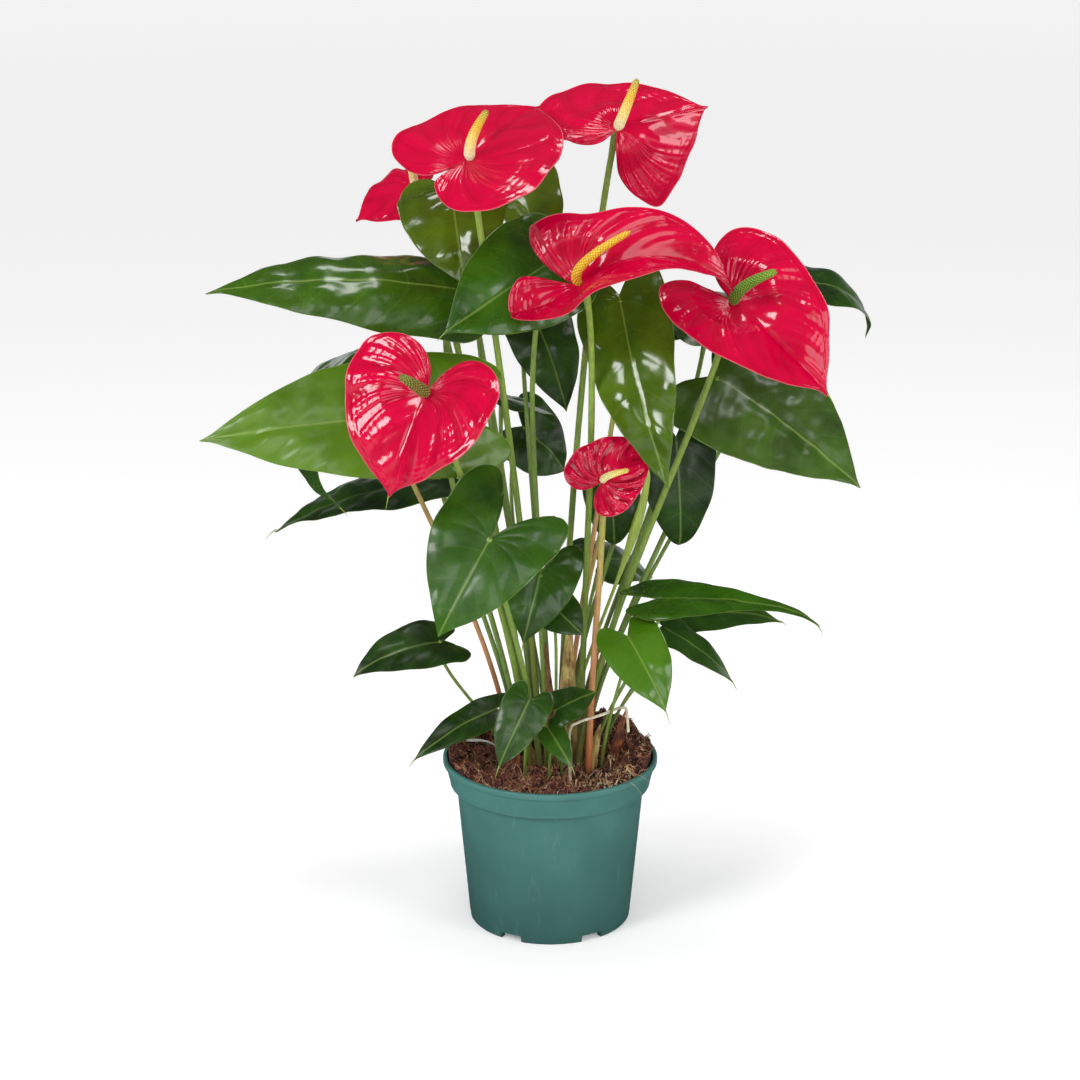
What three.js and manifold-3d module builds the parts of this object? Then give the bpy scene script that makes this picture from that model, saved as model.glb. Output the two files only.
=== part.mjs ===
// A potted anthurium, in millimetres, +Z up. The origin is the middle of the pot's underside, on the
// surface that the pot stands on. +X is to the viewer's right and -Y is towards the viewer.
// Each leaf with its stalk, each part of a bloom, the soil, the pot and each dry scrap is one mesh.
import * as THREE from "three";
import { mergeVertices } from "three/addons/utils/BufferGeometryUtils.js";
import Module from "manifold-3d";

// ---------- Driving sizes ----------

// Nursery pot of 17 cm: thin moulded plastic with a stepped rim band and a ring of feet.
const POT_RIM_R = 85;
const POT_HEIGHT = 136;
const POT_BASE_R = 64;
const POT_SHOULDER_R = 74.4;
const BAND_BOTTOM = 113.5;
const BAND_STEP = 4.6;
const WALL = 1.6;
const FLOOR_RISE = 7;
const FOOT_COUNT = 6;
const FOOT_WIDTH = 6;
const FIRST_NOTCH_DEG = -59;
const NOTCH_WIDTH = 18;
const NOTCH_HEIGHT = 5.6;
const DRAIN_R = 5;
const DRAIN_RING_R = 36;
const POT_SIDES = 34;

// Soil: fills the pot to just under the rim and is mounded round the stems.
const SOIL_EDGE = 128;
const SOIL_MOUND = 8;
const SOIL_LUMP = 1.2;
const ROOT_DEPTH = 14;
const ROOT_CLEAR = 3;
const HOLE_GAP = 0.4;

// Blades and stems.
const SEAT_GAP = 0.6;
const LEAF_THICK = 1.1;
const SPATHE_THICK = 1.2;
const FLAT_R = 9;
const LOBE_REACH = 0.27;
const STALK_SIDES = 5;
const STALK_STEP = 60;
const KNEE_LENGTH = 5;
const TURNING = 0.3;
const HEAD_START = 0.33;
const BLOOM_STEM_R = 2.7;
const SPADIX_RINGS = 9;
const FLORET_RELIEF = 0.06;
const BUD_RINGS = 8;
const ROUND_SIDES = 8;
const RIB_STEPS = 16;

const RAD = Math.PI / 180;
const UP = new THREE.Vector3(0, 0, 1);

// ---------- Solids ----------

const wasm = await Module();
wasm.setup();

// A closed geometry as a body that can be joined and cut.
function bodyOf(geometry) {
  const bare = new THREE.BufferGeometry().setAttribute("position", geometry.getAttribute("position"));
  bare.setIndex(geometry.index);
  const merged = mergeVertices(bare, 1e-4);
  const vertProperties = new Float32Array(merged.attributes.position.array);
  const triVerts = new Uint32Array(merged.index.array);
  return new wasm.Manifold(new wasm.Mesh({ numProp: 3, vertProperties, triVerts }));
}

// A body as a geometry with flat faces.
function geometryOf(body) {
  const { vertProperties, triVerts } = body.getMesh();
  const geometry = new THREE.BufferGeometry();
  geometry.setAttribute("position", new THREE.BufferAttribute(vertProperties, 3));
  geometry.setIndex(new THREE.BufferAttribute(triVerts, 1));
  geometry.computeVertexNormals();
  return geometry;
}

function indexed(points, triangles) {
  const geometry = new THREE.BufferGeometry().setFromPoints(points);
  geometry.setIndex(triangles);
  return geometry;
}

function smooth(value, from, to) {
  return THREE.MathUtils.smoothstep(value, from, to);
}

// ---------- Soil ----------

// Height of the soil above a place, with the mound and its lumps.
function soilHeight(x, y) {
  const r = Math.hypot(x, y) / POT_RIM_R;
  const broad = Math.sin(x / 7 + 1.2 * Math.sin(y / 11));
  const cross = Math.sin(y / 6 + x / 15);
  return SOIL_EDGE + SOIL_MOUND * (1 - smooth(r, 0.1, 0.95)) + SOIL_LUMP * (broad + cross);
}

// ---------- Round stems ----------

// A closed stem through points, with a radius for each. Relief raises every other bump of a spadix.
function stem(points, radii, sides, relief = 0) {
  const rings = points.length;
  const vertices = [];
  let across = new THREE.Vector3(1, 0, 0);
  let last = UP.clone();
  points.forEach((point, i) => {
    const before = points[Math.max(i - 1, 0)];
    const after = points[Math.min(i + 1, rings - 1)];
    const along = after.clone().sub(before).normalize();
    across = across.applyQuaternion(new THREE.Quaternion().setFromUnitVectors(last, along)).normalize();
    last = along;
    const side = along.clone().cross(across);
    for (let j = 0; j < sides; j++) {
      const turn = (2 * Math.PI * j) / sides;
      const r = radii[i] * (1 + ((i + j) % 2 ? relief : -relief));
      vertices.push(
        point.clone().addScaledVector(across, r * Math.cos(turn)).addScaledVector(side, r * Math.sin(turn)),
      );
    }
  });
  vertices.push(points[0].clone(), points[rings - 1].clone());
  const foot = rings * sides;
  const triangles = [];
  for (let j = 0; j < sides; j++) {
    const k = (j + 1) % sides;
    for (let i = 0; i < rings - 1; i++) {
      const a = i * sides;
      triangles.push(a + j, a + k, a + sides + k, a + j, a + sides + k, a + sides + j);
    }
    triangles.push(foot, k, j, foot + 1, foot - sides + j, foot - sides + k);
  }
  return indexed(vertices, triangles);
}

// Points of a stalk: straight up out of the soil at the root, then a curve that meets the blade. The
// curve turns to the blade over a share of its length.
function stalkPoints(root, end, arrive, steps, turning) {
  const ground = soilHeight(root[0], root[1]);
  const bottom = new THREE.Vector3(root[0], root[1], ground - ROOT_DEPTH);
  const leave = new THREE.Vector3(root[0], root[1], ground + ROOT_CLEAR);
  const reach = end.clone().sub(leave);
  const span = reach.length();
  const straight = reach.clone().normalize();
  const first = UP.clone().multiplyScalar(0.6).addScaledVector(straight, 0.4).normalize();
  const lastWay = arrive.clone().multiplyScalar(0.55).addScaledVector(straight, 0.6).normalize();
  const knee = end.clone().addScaledVector(arrive, -KNEE_LENGTH);
  const curve = new THREE.CubicBezierCurve3(
    leave,
    leave.clone().addScaledVector(first, HEAD_START * span),
    knee.clone().addScaledVector(lastWay, -turning * span),
    knee,
  );
  return [bottom, ...curve.getSpacedPoints(steps), end];
}

// ---------- Blades ----------

// Half outlines from the tip round to the notch behind the neck: across in half widths, along in
// lengths from the neck.
const LEAF = [
  [0, 1], [0.06, 0.95], [0.24, 0.86], [0.56, 0.69], [0.84, 0.46], [0.98, 0.21],
  [1, -0.01], [0.9, -0.17], [0.66, -0.26], [0.4, -0.24], [0.17, -0.13], [0, -0.03],
];
const ARROW = [
  [0, 1], [0.1, 0.9], [0.36, 0.73], [0.66, 0.5], [0.87, 0.22], [0.97, -0.08],
  [1, -0.34], [0.9, -0.54], [0.68, -0.6], [0.44, -0.48], [0.19, -0.22], [0, -0.04],
];
const TAPERED = [
  [0, 1], [0.1, 0.84], [0.24, 0.62], [0.44, 0.4], [0.72, 0.22], [0.94, 0.07],
  [1, -0.07], [0.86, -0.19], [0.6, -0.25], [0.34, -0.21], [0.12, -0.1], [0, -0.03],
];
const SPATHE = [
  [0, 1], [0.035, 0.95], [0.13, 0.89], [0.45, 0.74], [0.78, 0.48], [0.97, 0.18],
  [1, -0.08], [0.9, -0.28], [0.64, -0.4], [0.34, -0.39], [0.11, -0.25], [0, -0.035],
];
const SHALLOW = [
  ...LEAF.slice(0, 7), [0.9, -0.11], [0.68, -0.17], [0.4, -0.16], [0.17, -0.1], [0, -0.03],
];
const LANCE = [
  [0, 1], [0.3, 0.82], [0.72, 0.5], [1, 0.2], [0.9, 0.04], [0.5, -0.04], [0.16, -0.05], [0, -0.04],
];
const CLOSED_SPATHE = [
  ...SPATHE.slice(0, 8), [0.62, -0.42], [0.3, -0.43], [0.07, -0.36], [0.012, -0.2], [0, -0.035],
];

const FLAT_BLADE = {
  outline: LEAF, arch: 30, side: 0, roll: 0, twist: 0, hook: 0, fold: 8, curl: -22, lift: 0, swing: 0,
  wave: 2, waves: 2.2, phase: 1, half: 9, rings: [0.36, 0.7, 1], thick: LEAF_THICK,
};

// The way the midrib runs and its cross directions, at a share of the length from the neck.
function ribFrame(blade, share) {
  const back = Math.min(share, 0) / LOBE_REACH;
  const hooked = Math.max(0, (share - 0.7) / 0.3) ** 2;
  const pitch = -blade.arch * share - blade.hook * hooked + blade.lift * back;
  const yaw = blade.side * share;
  const roll = blade.roll + blade.twist * share;
  const turn = new THREE.Euler(pitch * RAD, roll * RAD, -yaw * RAD, "ZXY");
  return {
    across: new THREE.Vector3(1, 0, 0).applyEuler(turn),
    along: new THREE.Vector3(0, 1, 0).applyEuler(turn),
    up: new THREE.Vector3(0, 0, 1).applyEuler(turn),
  };
}

// Place on the bent midrib, in lengths from the neck.
function ribPoint(blade, share) {
  const place = new THREE.Vector3();
  for (let i = 0; i < RIB_STEPS; i++) {
    const { along } = ribFrame(blade, (share * (i + 0.5)) / RIB_STEPS);
    place.addScaledVector(along, share / RIB_STEPS);
  }
  return place;
}

// A place on the flat blade taken to its place on the bent one. It stays flat round the neck.
function bladePoint(blade, x, y) {
  const share = y / blade.length;
  const halfWidth = blade.width / 2;
  const away = smooth(Math.hypot(x, y), FLAT_R, 4 * FLAT_R);
  const fold = blade.fold * away * RAD;
  const curl = (blade.curl * away * RAD + 1e-5) / halfWidth;
  const out = Math.abs(x);
  const bentX = (Math.sin(fold + curl * out) - Math.sin(fold)) / curl;
  const bentZ = (Math.cos(fold) - Math.cos(fold + curl * out)) / curl;
  const ripple = Math.sin(2 * Math.PI * blade.waves * share + (x < 0 ? blade.phase : 0));
  const wave = blade.wave * (out / halfWidth) ** 2 * ripple;
  const { across, up } = ribFrame(blade, share);
  return ribPoint(blade, share)
    .multiplyScalar(blade.length)
    .addScaledVector(across, Math.sign(x) * bentX)
    .addScaledVector(up, bentZ + wave);
}

function basis(along, up) {
  const y = along.clone().normalize();
  const x = y.clone().cross(up).normalize();
  return new THREE.Matrix4().makeBasis(x, y, x.clone().cross(y));
}

// A row of a table made into a blade: its length from neck to tip, and the turn that places it.
function bladeOf(row) {
  const blade = { ...FLAT_BLADE, ...row };
  const neck = new THREE.Vector3(...row.neck);
  const chord = new THREE.Vector3(...row.tip).sub(neck);
  const reach = ribPoint(blade, 1);
  blade.length = chord.length() / reach.length();
  const flat = basis(reach, ribFrame(blade, 0.45).up);
  blade.turn = basis(chord, new THREE.Vector3(...row.facing)).multiply(flat.transpose());
  blade.normal = ribFrame(blade, 0).up.transformDirection(blade.turn);
  blade.neckPoint = neck;
  return blade;
}

// A flat outline turned about the neck, not at all at the tip and by the whole swing at the notch.
function swung(corner, swing) {
  const turn = (swing * RAD * (1 - corner.y / corner.length())) / 2;
  return corner.applyAxisAngle(UP, turn);
}

// The blade's outline on the flat, tip first and once round.
function outlineOf(blade) {
  const corners = blade.outline.map(
    ([x, y]) => new THREE.Vector3((x * blade.width) / 2, y * blade.length, 0),
  );
  const half = new THREE.CatmullRomCurve3(corners, false, "centripetal").getSpacedPoints(blade.half);
  const other = half.slice(1, -1).reverse().map((p) => new THREE.Vector3(-p.x, p.y, 0));
  return [...half, ...other].map((corner) => swung(corner, blade.swing));
}

// A thin closed blade: rings from the neck out to the outline, split alike on both faces.
function bladeGeometry(blade) {
  const outline = outlineOf(blade);
  const n = outline.length;
  const flat = [new THREE.Vector3()];
  blade.rings.forEach((share) => {
    outline.forEach((corner) => flat.push(corner.clone().multiplyScalar(share)));
  });
  const face = [];
  for (let j = 0; j < n; j++) {
    const k = (j + 1) % n;
    face.push(0, 1 + k, 1 + j);
    for (let i = 0; i < blade.rings.length - 1; i++) {
      const a = 1 + i * n;
      face.push(a + j, a + k, a + n + k, a + j, a + n + k, a + n + j);
    }
  }
  const middle = flat.map((p) => bladePoint(blade, p.x, p.y).applyMatrix4(blade.turn).add(blade.neckPoint));
  const sheet = indexed(middle, face);
  sheet.computeVertexNormals();
  const normal = sheet.getAttribute("normal");
  const normalAt = (i) => new THREE.Vector3().fromBufferAttribute(normal, i);
  const offset = (side) => middle.map((p, i) => p.clone().addScaledVector(normalAt(i), (side * blade.thick) / 2));
  const count = middle.length;
  const rim = count - n;
  const triangles = [...face];
  for (let i = 0; i < face.length; i += 3) {
    triangles.push(count + face[i], count + face[i + 2], count + face[i + 1]);
  }
  for (let j = 0; j < n; j++) {
    const a = rim + j;
    const b = rim + ((j + 1) % n);
    triangles.push(a, b, count + b, a, count + b, count + a);
  }
  return indexed([...offset(1), ...offset(-1)], triangles);
}

// ---------- Tables of the plant's pieces ----------

const SMALL = { half: 7, rings: [0.5, 1], wave: 1 };

// One row for each leaf: its neck, its tip, the way its upper side faces and its width, and then how
// it bends in degrees.
const LEAVES = [
  { name: "leaf_left_high", neck: [-75, -26, 520], tip: [-255, -50, 522], facing: [0, -0.6, 0.8],
    width: 86, arch: 38, twist: 12, fold: 5, curl: -60, root: [-17, -4], outline: SHALLOW, stalk: 2.3 },
  { name: "leaf_left_wide", neck: [-78, -54, 431], tip: [-261, -75, 416], facing: [0, -0.85, 0.5],
    width: 100, arch: 30, root: [-23, -9], stalk: 2.4 },
  { name: "leaf_left_curled", neck: [-152, 70, 447], tip: [-163, 22, 333], facing: [-0.9, -0.3, 0.3],
    width: 90, arch: 130, root: [-31, 12], stalk: 2.1 },
  { name: "leaf_left_low", neck: [-88, 92, 337], tip: [-222, 85, 295], facing: [0, -0.1, 1], width: 85,
    arch: 25, root: [-26, 21], stalk: 2.1 },
  { name: "leaf_top_hanging", neck: [-74, 14, 586], tip: [-63, -26, 520], facing: [-0.1, -0.9, 0.4],
    width: 86, arch: 60, root: [-12, -1], stalk: 2.1 },
  { name: "leaf_top_folded", neck: [-26, 88, 574], tip: [-3, 50, 523], facing: [0.2, -0.8, 0.5], width: 66,
    arch: 30, fold: 35, root: [-3, 10], stalk: 1.9 },
  { name: "leaf_middle_pointed", neck: [0, -30, 541], tip: [-79, -84, 499], facing: [-0.1, -0.92, 0.32],
    width: 88, arch: 30, root: [0, -3], stalk: 2.2 },
  { name: "leaf_back_middle", neck: [-58, 88, 478], tip: [-60, 166, 468], facing: [0, 0.2, 1], width: 46,
    arch: 45, root: [-9, 16], outline: SHALLOW, stalk: 2.2 },
  { name: "leaf_back_dark", neck: [-12, 60, 477], tip: [13, 48, 404], facing: [0.2, -0.8, 0.3], width: 56,
    arch: 40, root: [-2, 18], stalk: 2 },
  { name: "leaf_front_long", neck: [52, -20, 510], tip: [87, -90, 382], facing: [-0.35, -0.92, 0.3],
    width: 74, arch: 30, root: [11, -13], outline: SHALLOW, turning: 0.15, stalk: 2.2 },
  { name: "leaf_back_right", neck: [91, 50, 476], tip: [121, 163, 466], facing: [0, 0.2, 1], width: 95,
    arch: 45, root: [11, 12], stalk: 2.2 },
  { name: "leaf_right_hooked", neck: [185, 95, 495], tip: [254, 130, 445], facing: [0.45, -0.25, 0.85],
    width: 58, arch: 95, hook: 20, root: [28, 22], stalk: 1.9 },
  { name: "leaf_right_wide", neck: [129, 22, 438], tip: [235, -40, 369], facing: [-0.1, -0.66, 0.75],
    width: 108, arch: 30, root: [27, -1], outline: SHALLOW, stalk: 2.4 },
  { name: "leaf_right_under", neck: [122, 84, 464], tip: [148, 167, 444], facing: [-0.1, -0.1, 1],
    width: 76, arch: 40, curl: -40, root: [20, 9], stalk: 2.1 },
  { name: "leaf_right_round", neck: [97, 11, 392], tip: [100, 16, 305], facing: [0.1, -0.9, 0.3],
    width: 62, arch: 40, hook: 70, root: [29, 13], stalk: 2.1 },
  { name: "leaf_middle_round", neck: [47, 6, 361], tip: [50, 10, 307], facing: [0, -1, 0.2], width: 46,
    arch: 45, hook: 50, root: [9, 7], stalk: 1.9 },
  { name: "leaf_front_arrow", neck: [-45, -118, 353], tip: [-83, -142, 285], facing: [-0.1, -0.97, 0.25],
    width: 92, arch: 25, hook: 40, outline: ARROW, swing: -12, root: [-8, -29], turning: 0.12, stalk: 2.2 },
  { name: "leaf_front_second", neck: [-8, -45, 301], tip: [-21, -60, 250], facing: [0, -0.93, 0.37],
    width: 62, arch: 40, outline: ARROW, root: [-3, -15], stalk: 1.9 },
  { name: "leaf_low_left", neck: [-86, 0, 231], tip: [-153, -30, 212], facing: [0, -0.5, 0.85], width: 50,
    arch: 40, hook: 30, root: [-38, 0], ...SMALL, stalk: 1.5 },
  { name: "leaf_low_right_long", neck: [87, -42, 281], tip: [209, -15, 248], facing: [0, -0.4, 0.92],
    width: 60, arch: 25, twist: 25, hook: 30, outline: TAPERED, root: [34, -12], ...SMALL, stalk: 1.5 },
  { name: "leaf_low_right_slim", neck: [104, 52, 233], tip: [189, 85, 217], facing: [0, -0.45, 0.9],
    width: 40, arch: 40, root: [42, 16], ...SMALL, stalk: 1.3 },
  { name: "leaf_low_right_small", neck: [95, 2, 238], tip: [145, 12, 192], facing: [0, -0.4, 0.9],
    width: 34, arch: 30, root: [42, 4], ...SMALL, stalk: 1.3 },
  { name: "leaf_low_right_bright", neck: [59, -75, 261], tip: [87, -108, 213], facing: [0.1, -0.8, 0.6],
    width: 50, arch: 35, root: [40, -24], ...SMALL, stalk: 1.4 },
  { name: "leaf_soil_left", neck: [-44, -20, 181], tip: [-107, -40, 146], facing: [-0.2, -0.6, 0.8],
    width: 32, arch: 40, root: [-38, -15], ...SMALL, stalk: 1.3 },
  { name: "leaf_soil_front", neck: [-17, -66, 205], tip: [-40, -84, 158], facing: [0, -0.8, 0.6],
    width: 38, arch: 30, root: [-20, -40], ...SMALL, stalk: 1.3 },
  { name: "leaf_soil_round", neck: [6, -54, 195], tip: [36, -46, 206], facing: [0, -0.6, 0.8], width: 32,
    arch: 25, root: [9, -38], ...SMALL, stalk: 1.2 },
  { name: "leaf_soil_tiny", neck: [-1, -57, 179], tip: [17, -80, 156], facing: [0, -0.8, 0.6], width: 22,
    arch: 30, root: [-1, -43], ...SMALL, stalk: 1.1 },
  { name: "leaf_back_small", neck: [-38, 102, 400], tip: [4, 140, 369], facing: [0, -0.1, 1], width: 60,
    arch: 35, root: [-13, 25], ...SMALL, stalk: 1.7 },
  { name: "leaf_back_pale", neck: [-21, 139, 366], tip: [13, 163, 321], facing: [0, -0.6, 0.6], width: 66,
    arch: 30, root: [-3, 31], ...SMALL, stalk: 1.7 },
  { name: "leaf_back_low", neck: [42, 67, 276], tip: [82, 120, 245], facing: [0, -0.5, 0.85], width: 60,
    arch: 40, root: [17, 28], ...SMALL, stalk: 1.6 },
  { name: "leaf_front_tucked", neck: [1, -45, 276], tip: [25, -60, 257], facing: [0, -0.8, 0.6], width: 36,
    arch: 30, root: [4, -24], ...SMALL, stalk: 1.4 },
];

// One row for each open bloom: as for a leaf, and where its spadix ends.
const BLOOMS = [
  { name: "bloom_a", neck: [-59, -50, 622], tip: [-8, 26, 648], facing: [0.02, -0.24, 0.97], width: 130,
    arch: 20, outline: CLOSED_SPATHE, swing: -25, root: [-8, -4], spadix: [-46, -65, 660], thickness: 4.2 },
  { name: "bloom_b", neck: [50, 12, 634], tip: [119, 40, 645], facing: [-0.12, -0.86, 0.5], width: 140,
    arch: 5, fold: -27, curl: -15, swing: 48, root: [7, -3], spadix: [64, 2, 672], thickness: 4.2 },
  { name: "bloom_c", neck: [21, -72, 534], tip: [134, -66, 528], facing: [-0.1, -0.55, 0.84], width: 100,
    arch: 90, curl: -10, roll: 25, lift: 45, fold: 36, swing: -50, root: [24, -17], turning: 0.12,
    spadix: [57, -82, 575], thickness: 3.5 },
  { name: "bloom_d", neck: [135, -50, 515], tip: [204, -90, 454], facing: [0.22, -0.8, 0.52], width: 118,
    arch: 20, fold: 28, root: [22, -24], spadix: [163, -88, 547], thickness: 4.4 },
  { name: "bloom_e", neck: [-90, -118, 464], tip: [-118, -138, 391], facing: [-0.42, -0.8, 0.43],
    width: 128, arch: 20, fold: 18, root: [-16, -20], turning: 0.12, spadix: [-107, -148, 484],
    thickness: 4.4 },
  { name: "bloom_f", neck: [39, -75, 385], tip: [74, -52, 410], facing: [0, -0.8, 0.6], width: 60,
    arch: 20, fold: 20, root: [30, -27], spadix: [57, -98, 400], thickness: 2.8 },
  { name: "bloom_g", neck: [-105, 85, 574], tip: [-151, 75, 550], facing: [-0.3, -0.5, 0.8], width: 70,
    arch: 30, fold: 0, root: [-18, 13], spadix: [-111, 65, 615], thickness: 3.4 },
];

// Dry brown bracts that sheathe the foot of the stems. Each stands on a stub of its own.
const BRACT = { outline: LANCE, half: 5, rings: [1], width: 12, arch: 10, curl: 50, wave: 0, stalk: 1.8 };
const BRACT_STUB = 5;
const BRACTS = [
  { name: "bract_left", neck: [-28, -22, 138], tip: [-34, -27, 172], facing: [0.5, 0.9, 0], ...BRACT },
  { name: "bract_right", neck: [52, -6, 138], tip: [60, -8, 178], facing: [-0.6, 0.8, 0], ...BRACT },
];

// Pieces that are still rolled up: where the stalk ends and how far it has swelled there.
const YOUNG_LEAF = {
  name: "leaf_young_rolled", neck: [75, -8, 374], root: [13, 3], stalk: 1.4, swell: 2.6,
};
const BUD = {
  name: "bud", neck: [-73, 30, 467], tip: [-88, 38, 526], root: [-17, 5], stalk: 2.2, swell: 7,
};

// A dead stalk left on the soil: up, along and down again.
const DRY_STALK_R = 1.2;
const DRY_STALK = [
  [16, -44, 176], [21, -42, 179], [39, -36, 183], [58, -28, 186], [60, -27, 177], [61, -26, 165],
];

// ---------- Pieces ----------

const STEM_COLOUR = "#7f9a45";
const plant = new THREE.Group();

function add(name, body, colour, roughness) {
  const material = new THREE.MeshStandardMaterial({ color: colour, roughness, metalness: 0 });
  const mesh = new THREE.Mesh(geometryOf(body), material);
  mesh.name = name;
  plant.add(mesh);
}

const holes = [];

// Keeps a plain hole for a stem, to be cut in the soil.
function keepHole(root, radius) {
  const ground = soilHeight(root[0], root[1]);
  const across = (radius + HOLE_GAP) / Math.cos(Math.PI / STALK_SIDES);
  const ends = [ground - ROOT_DEPTH - 1, ground + 10].map((z) => new THREE.Vector3(root[0], root[1], z));
  holes.push(bodyOf(stem(ends, [across, across], STALK_SIDES)));
}

// A stalk out of the soil. The radius is a number, or a function of the share of the way up.
function stalkBody(row, end, arrive, radius) {
  const height = end.z - SOIL_EDGE;
  const steps = Math.round(THREE.MathUtils.clamp(height / STALK_STEP, 3, 7));
  const points = stalkPoints(row.root, end, arrive, steps, row.turning ?? TURNING);
  keepHole(row.root, row.stalk);
  const radii = points.map((_, i) => (radius ? radius(i / (points.length - 1)) : row.stalk));
  return bodyOf(stem(points, radii, STALK_SIDES));
}

function addLeaf(row) {
  const blade = bladeOf(row);
  const stalk = stalkBody(row, blade.neckPoint, blade.normal);
  add(row.name, stalk.add(bodyOf(bladeGeometry(blade))), "#2e6b1a", 0.3);
}

function addYoungLeaf(row) {
  const end = new THREE.Vector3(...row.neck);
  const radius = (share) => row.stalk + row.swell * Math.sin(Math.PI * smooth(share, 0.6, 1.06));
  add(row.name, stalkBody(row, end, UP, radius), "#a8c050", 0.4);
}

function addBract(row) {
  const [x, y, z] = row.neck;
  const levels = [soilHeight(x, y) - ROOT_DEPTH, z + BRACT_STUB];
  const points = levels.map((level) => new THREE.Vector3(x, y, level));
  keepHole(row.neck, row.stalk);
  const stub = bodyOf(stem(points, [row.stalk, row.stalk], STALK_SIDES));
  add(row.name, stub.add(bodyOf(bladeGeometry(bladeOf(row)))), "#6b3a22", 0.8);
}

const SPATHE_FORM = {
  outline: SPATHE, half: 11, rings: [0.09, 0.4, 0.72, 1], thick: SPATHE_THICK, curl: -15, wave: 2,
};

function addBloom(row) {
  const blade = bladeOf({ ...SPATHE_FORM, ...row });
  add(row.name + "_spathe", bodyOf(bladeGeometry(blade)), "#d0002c", 0.25);
  const seat = blade.thick / 2 + SEAT_GAP;
  const below = blade.neckPoint.clone().addScaledVector(blade.normal, -seat);
  add(row.name + "_stem", stalkBody(row, below, blade.normal), STEM_COLOUR, 0.4);
  const base = blade.neckPoint.clone().addScaledVector(blade.normal, seat);
  const end = new THREE.Vector3(...row.spadix);
  const bow = base.clone().addScaledVector(blade.normal, 0.4 * end.distanceTo(base));
  const points = new THREE.QuadraticBezierCurve3(base, bow, end).getSpacedPoints(SPADIX_RINGS);
  const radii = points.map((_, i) => row.thickness * (i ? 1 - 0.45 * (i / SPADIX_RINGS) ** 2 : 0.6));
  add(row.name + "_spadix", bodyOf(stem(points, radii, ROUND_SIDES, FLORET_RELIEF)), "#d8c85a", 0.6);
}

// The bud of a bloom: its spathe is rolled to a spindle that stands on its own stem.
function addBud(row) {
  const neck = new THREE.Vector3(...row.neck);
  const tip = new THREE.Vector3(...row.tip);
  const along = tip.clone().sub(neck).normalize();
  const below = neck.clone().addScaledVector(along, -SEAT_GAP);
  add(row.name + "_stem", stalkBody(row, below, along), STEM_COLOUR, 0.4);
  const points = new THREE.LineCurve3(neck, tip).getSpacedPoints(BUD_RINGS);
  const radii = points.map((_, i) => 1 + row.swell * Math.sin(Math.PI * (i / BUD_RINGS) ** 0.8));
  add(row.name, bodyOf(stem(points, radii, ROUND_SIDES)), "#c00028", 0.3);
}

function addDryStalk() {
  const points = DRY_STALK.map((place) => new THREE.Vector3(...place));
  const ground = soilHeight(points[0].x, points[0].y);
  points.unshift(points[0].clone().setZ(ground - ROOT_DEPTH));
  keepHole(DRY_STALK[0], DRY_STALK_R);
  const radii = points.map(() => DRY_STALK_R);
  add("dry_stalk", bodyOf(stem(points, radii, STALK_SIDES)), "#d9cdb0", 0.8);
}

LEAVES.forEach(addLeaf);
addYoungLeaf(YOUNG_LEAF);
BRACTS.forEach(addBract);
BLOOMS.forEach((row) => addBloom({ ...row, stalk: BLOOM_STEM_R }));
addBud(BUD);
addDryStalk();

// ---------- Pot and soil ----------

function lathe(profile, sides) {
  const points = profile.map(([r, z]) => new THREE.Vector2(r, z));
  return new THREE.LatheGeometry(points, sides).rotateX(Math.PI / 2);
}

function wallRadius(z) {
  return POT_BASE_R + ((POT_SHOULDER_R - POT_BASE_R) * z) / BAND_BOTTOM;
}

function addPot() {
  const bandR = POT_SHOULDER_R + BAND_STEP;
  const inside = (z) => wallRadius(z) - WALL;
  const profile = [
    [0, FLOOR_RISE], [POT_BASE_R - FOOT_WIDTH, FLOOR_RISE], [POT_BASE_R - FOOT_WIDTH, 0],
    [POT_BASE_R - 1, 0], [wallRadius(1.5), 1.5], [wallRadius(BAND_BOTTOM), BAND_BOTTOM],
    [bandR, BAND_BOTTOM], [bandR + 0.4, BAND_BOTTOM + 1],
    [POT_RIM_R - 2, POT_HEIGHT - 5], [POT_RIM_R, POT_HEIGHT - 3.6],
    [POT_RIM_R, POT_HEIGHT - 1], [POT_RIM_R - 1, POT_HEIGHT], [POT_RIM_R - 2.6, POT_HEIGHT],
    [POT_RIM_R - 3.6, POT_HEIGHT - 1.2], [bandR + 0.4 - WALL, BAND_BOTTOM + WALL],
    [inside(BAND_BOTTOM), BAND_BOTTOM + WALL], [inside(FLOOR_RISE + WALL), FLOOR_RISE + WALL],
    [0, FLOOR_RISE + WALL],
  ];
  let pot = bodyOf(lathe(profile, POT_SIDES));
  for (let i = 0; i < FOOT_COUNT; i++) {
    const turn = (FIRST_NOTCH_DEG + (360 / FOOT_COUNT) * i) * RAD;
    const notch = new THREE.BoxGeometry(24, NOTCH_WIDTH, 2 * NOTCH_HEIGHT);
    notch.translate(POT_BASE_R - 3, 0, 0).rotateZ(turn);
    const drain = new THREE.CylinderGeometry(DRAIN_R, DRAIN_R, 10, 10).rotateX(Math.PI / 2);
    drain.translate(DRAIN_RING_R, 0, FLOOR_RISE).rotateZ(turn);
    pot = pot.subtract(bodyOf(notch)).subtract(bodyOf(drain));
  }
  add("pot", pot, "#4a7c77", 0.4);
}
addPot();

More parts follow.
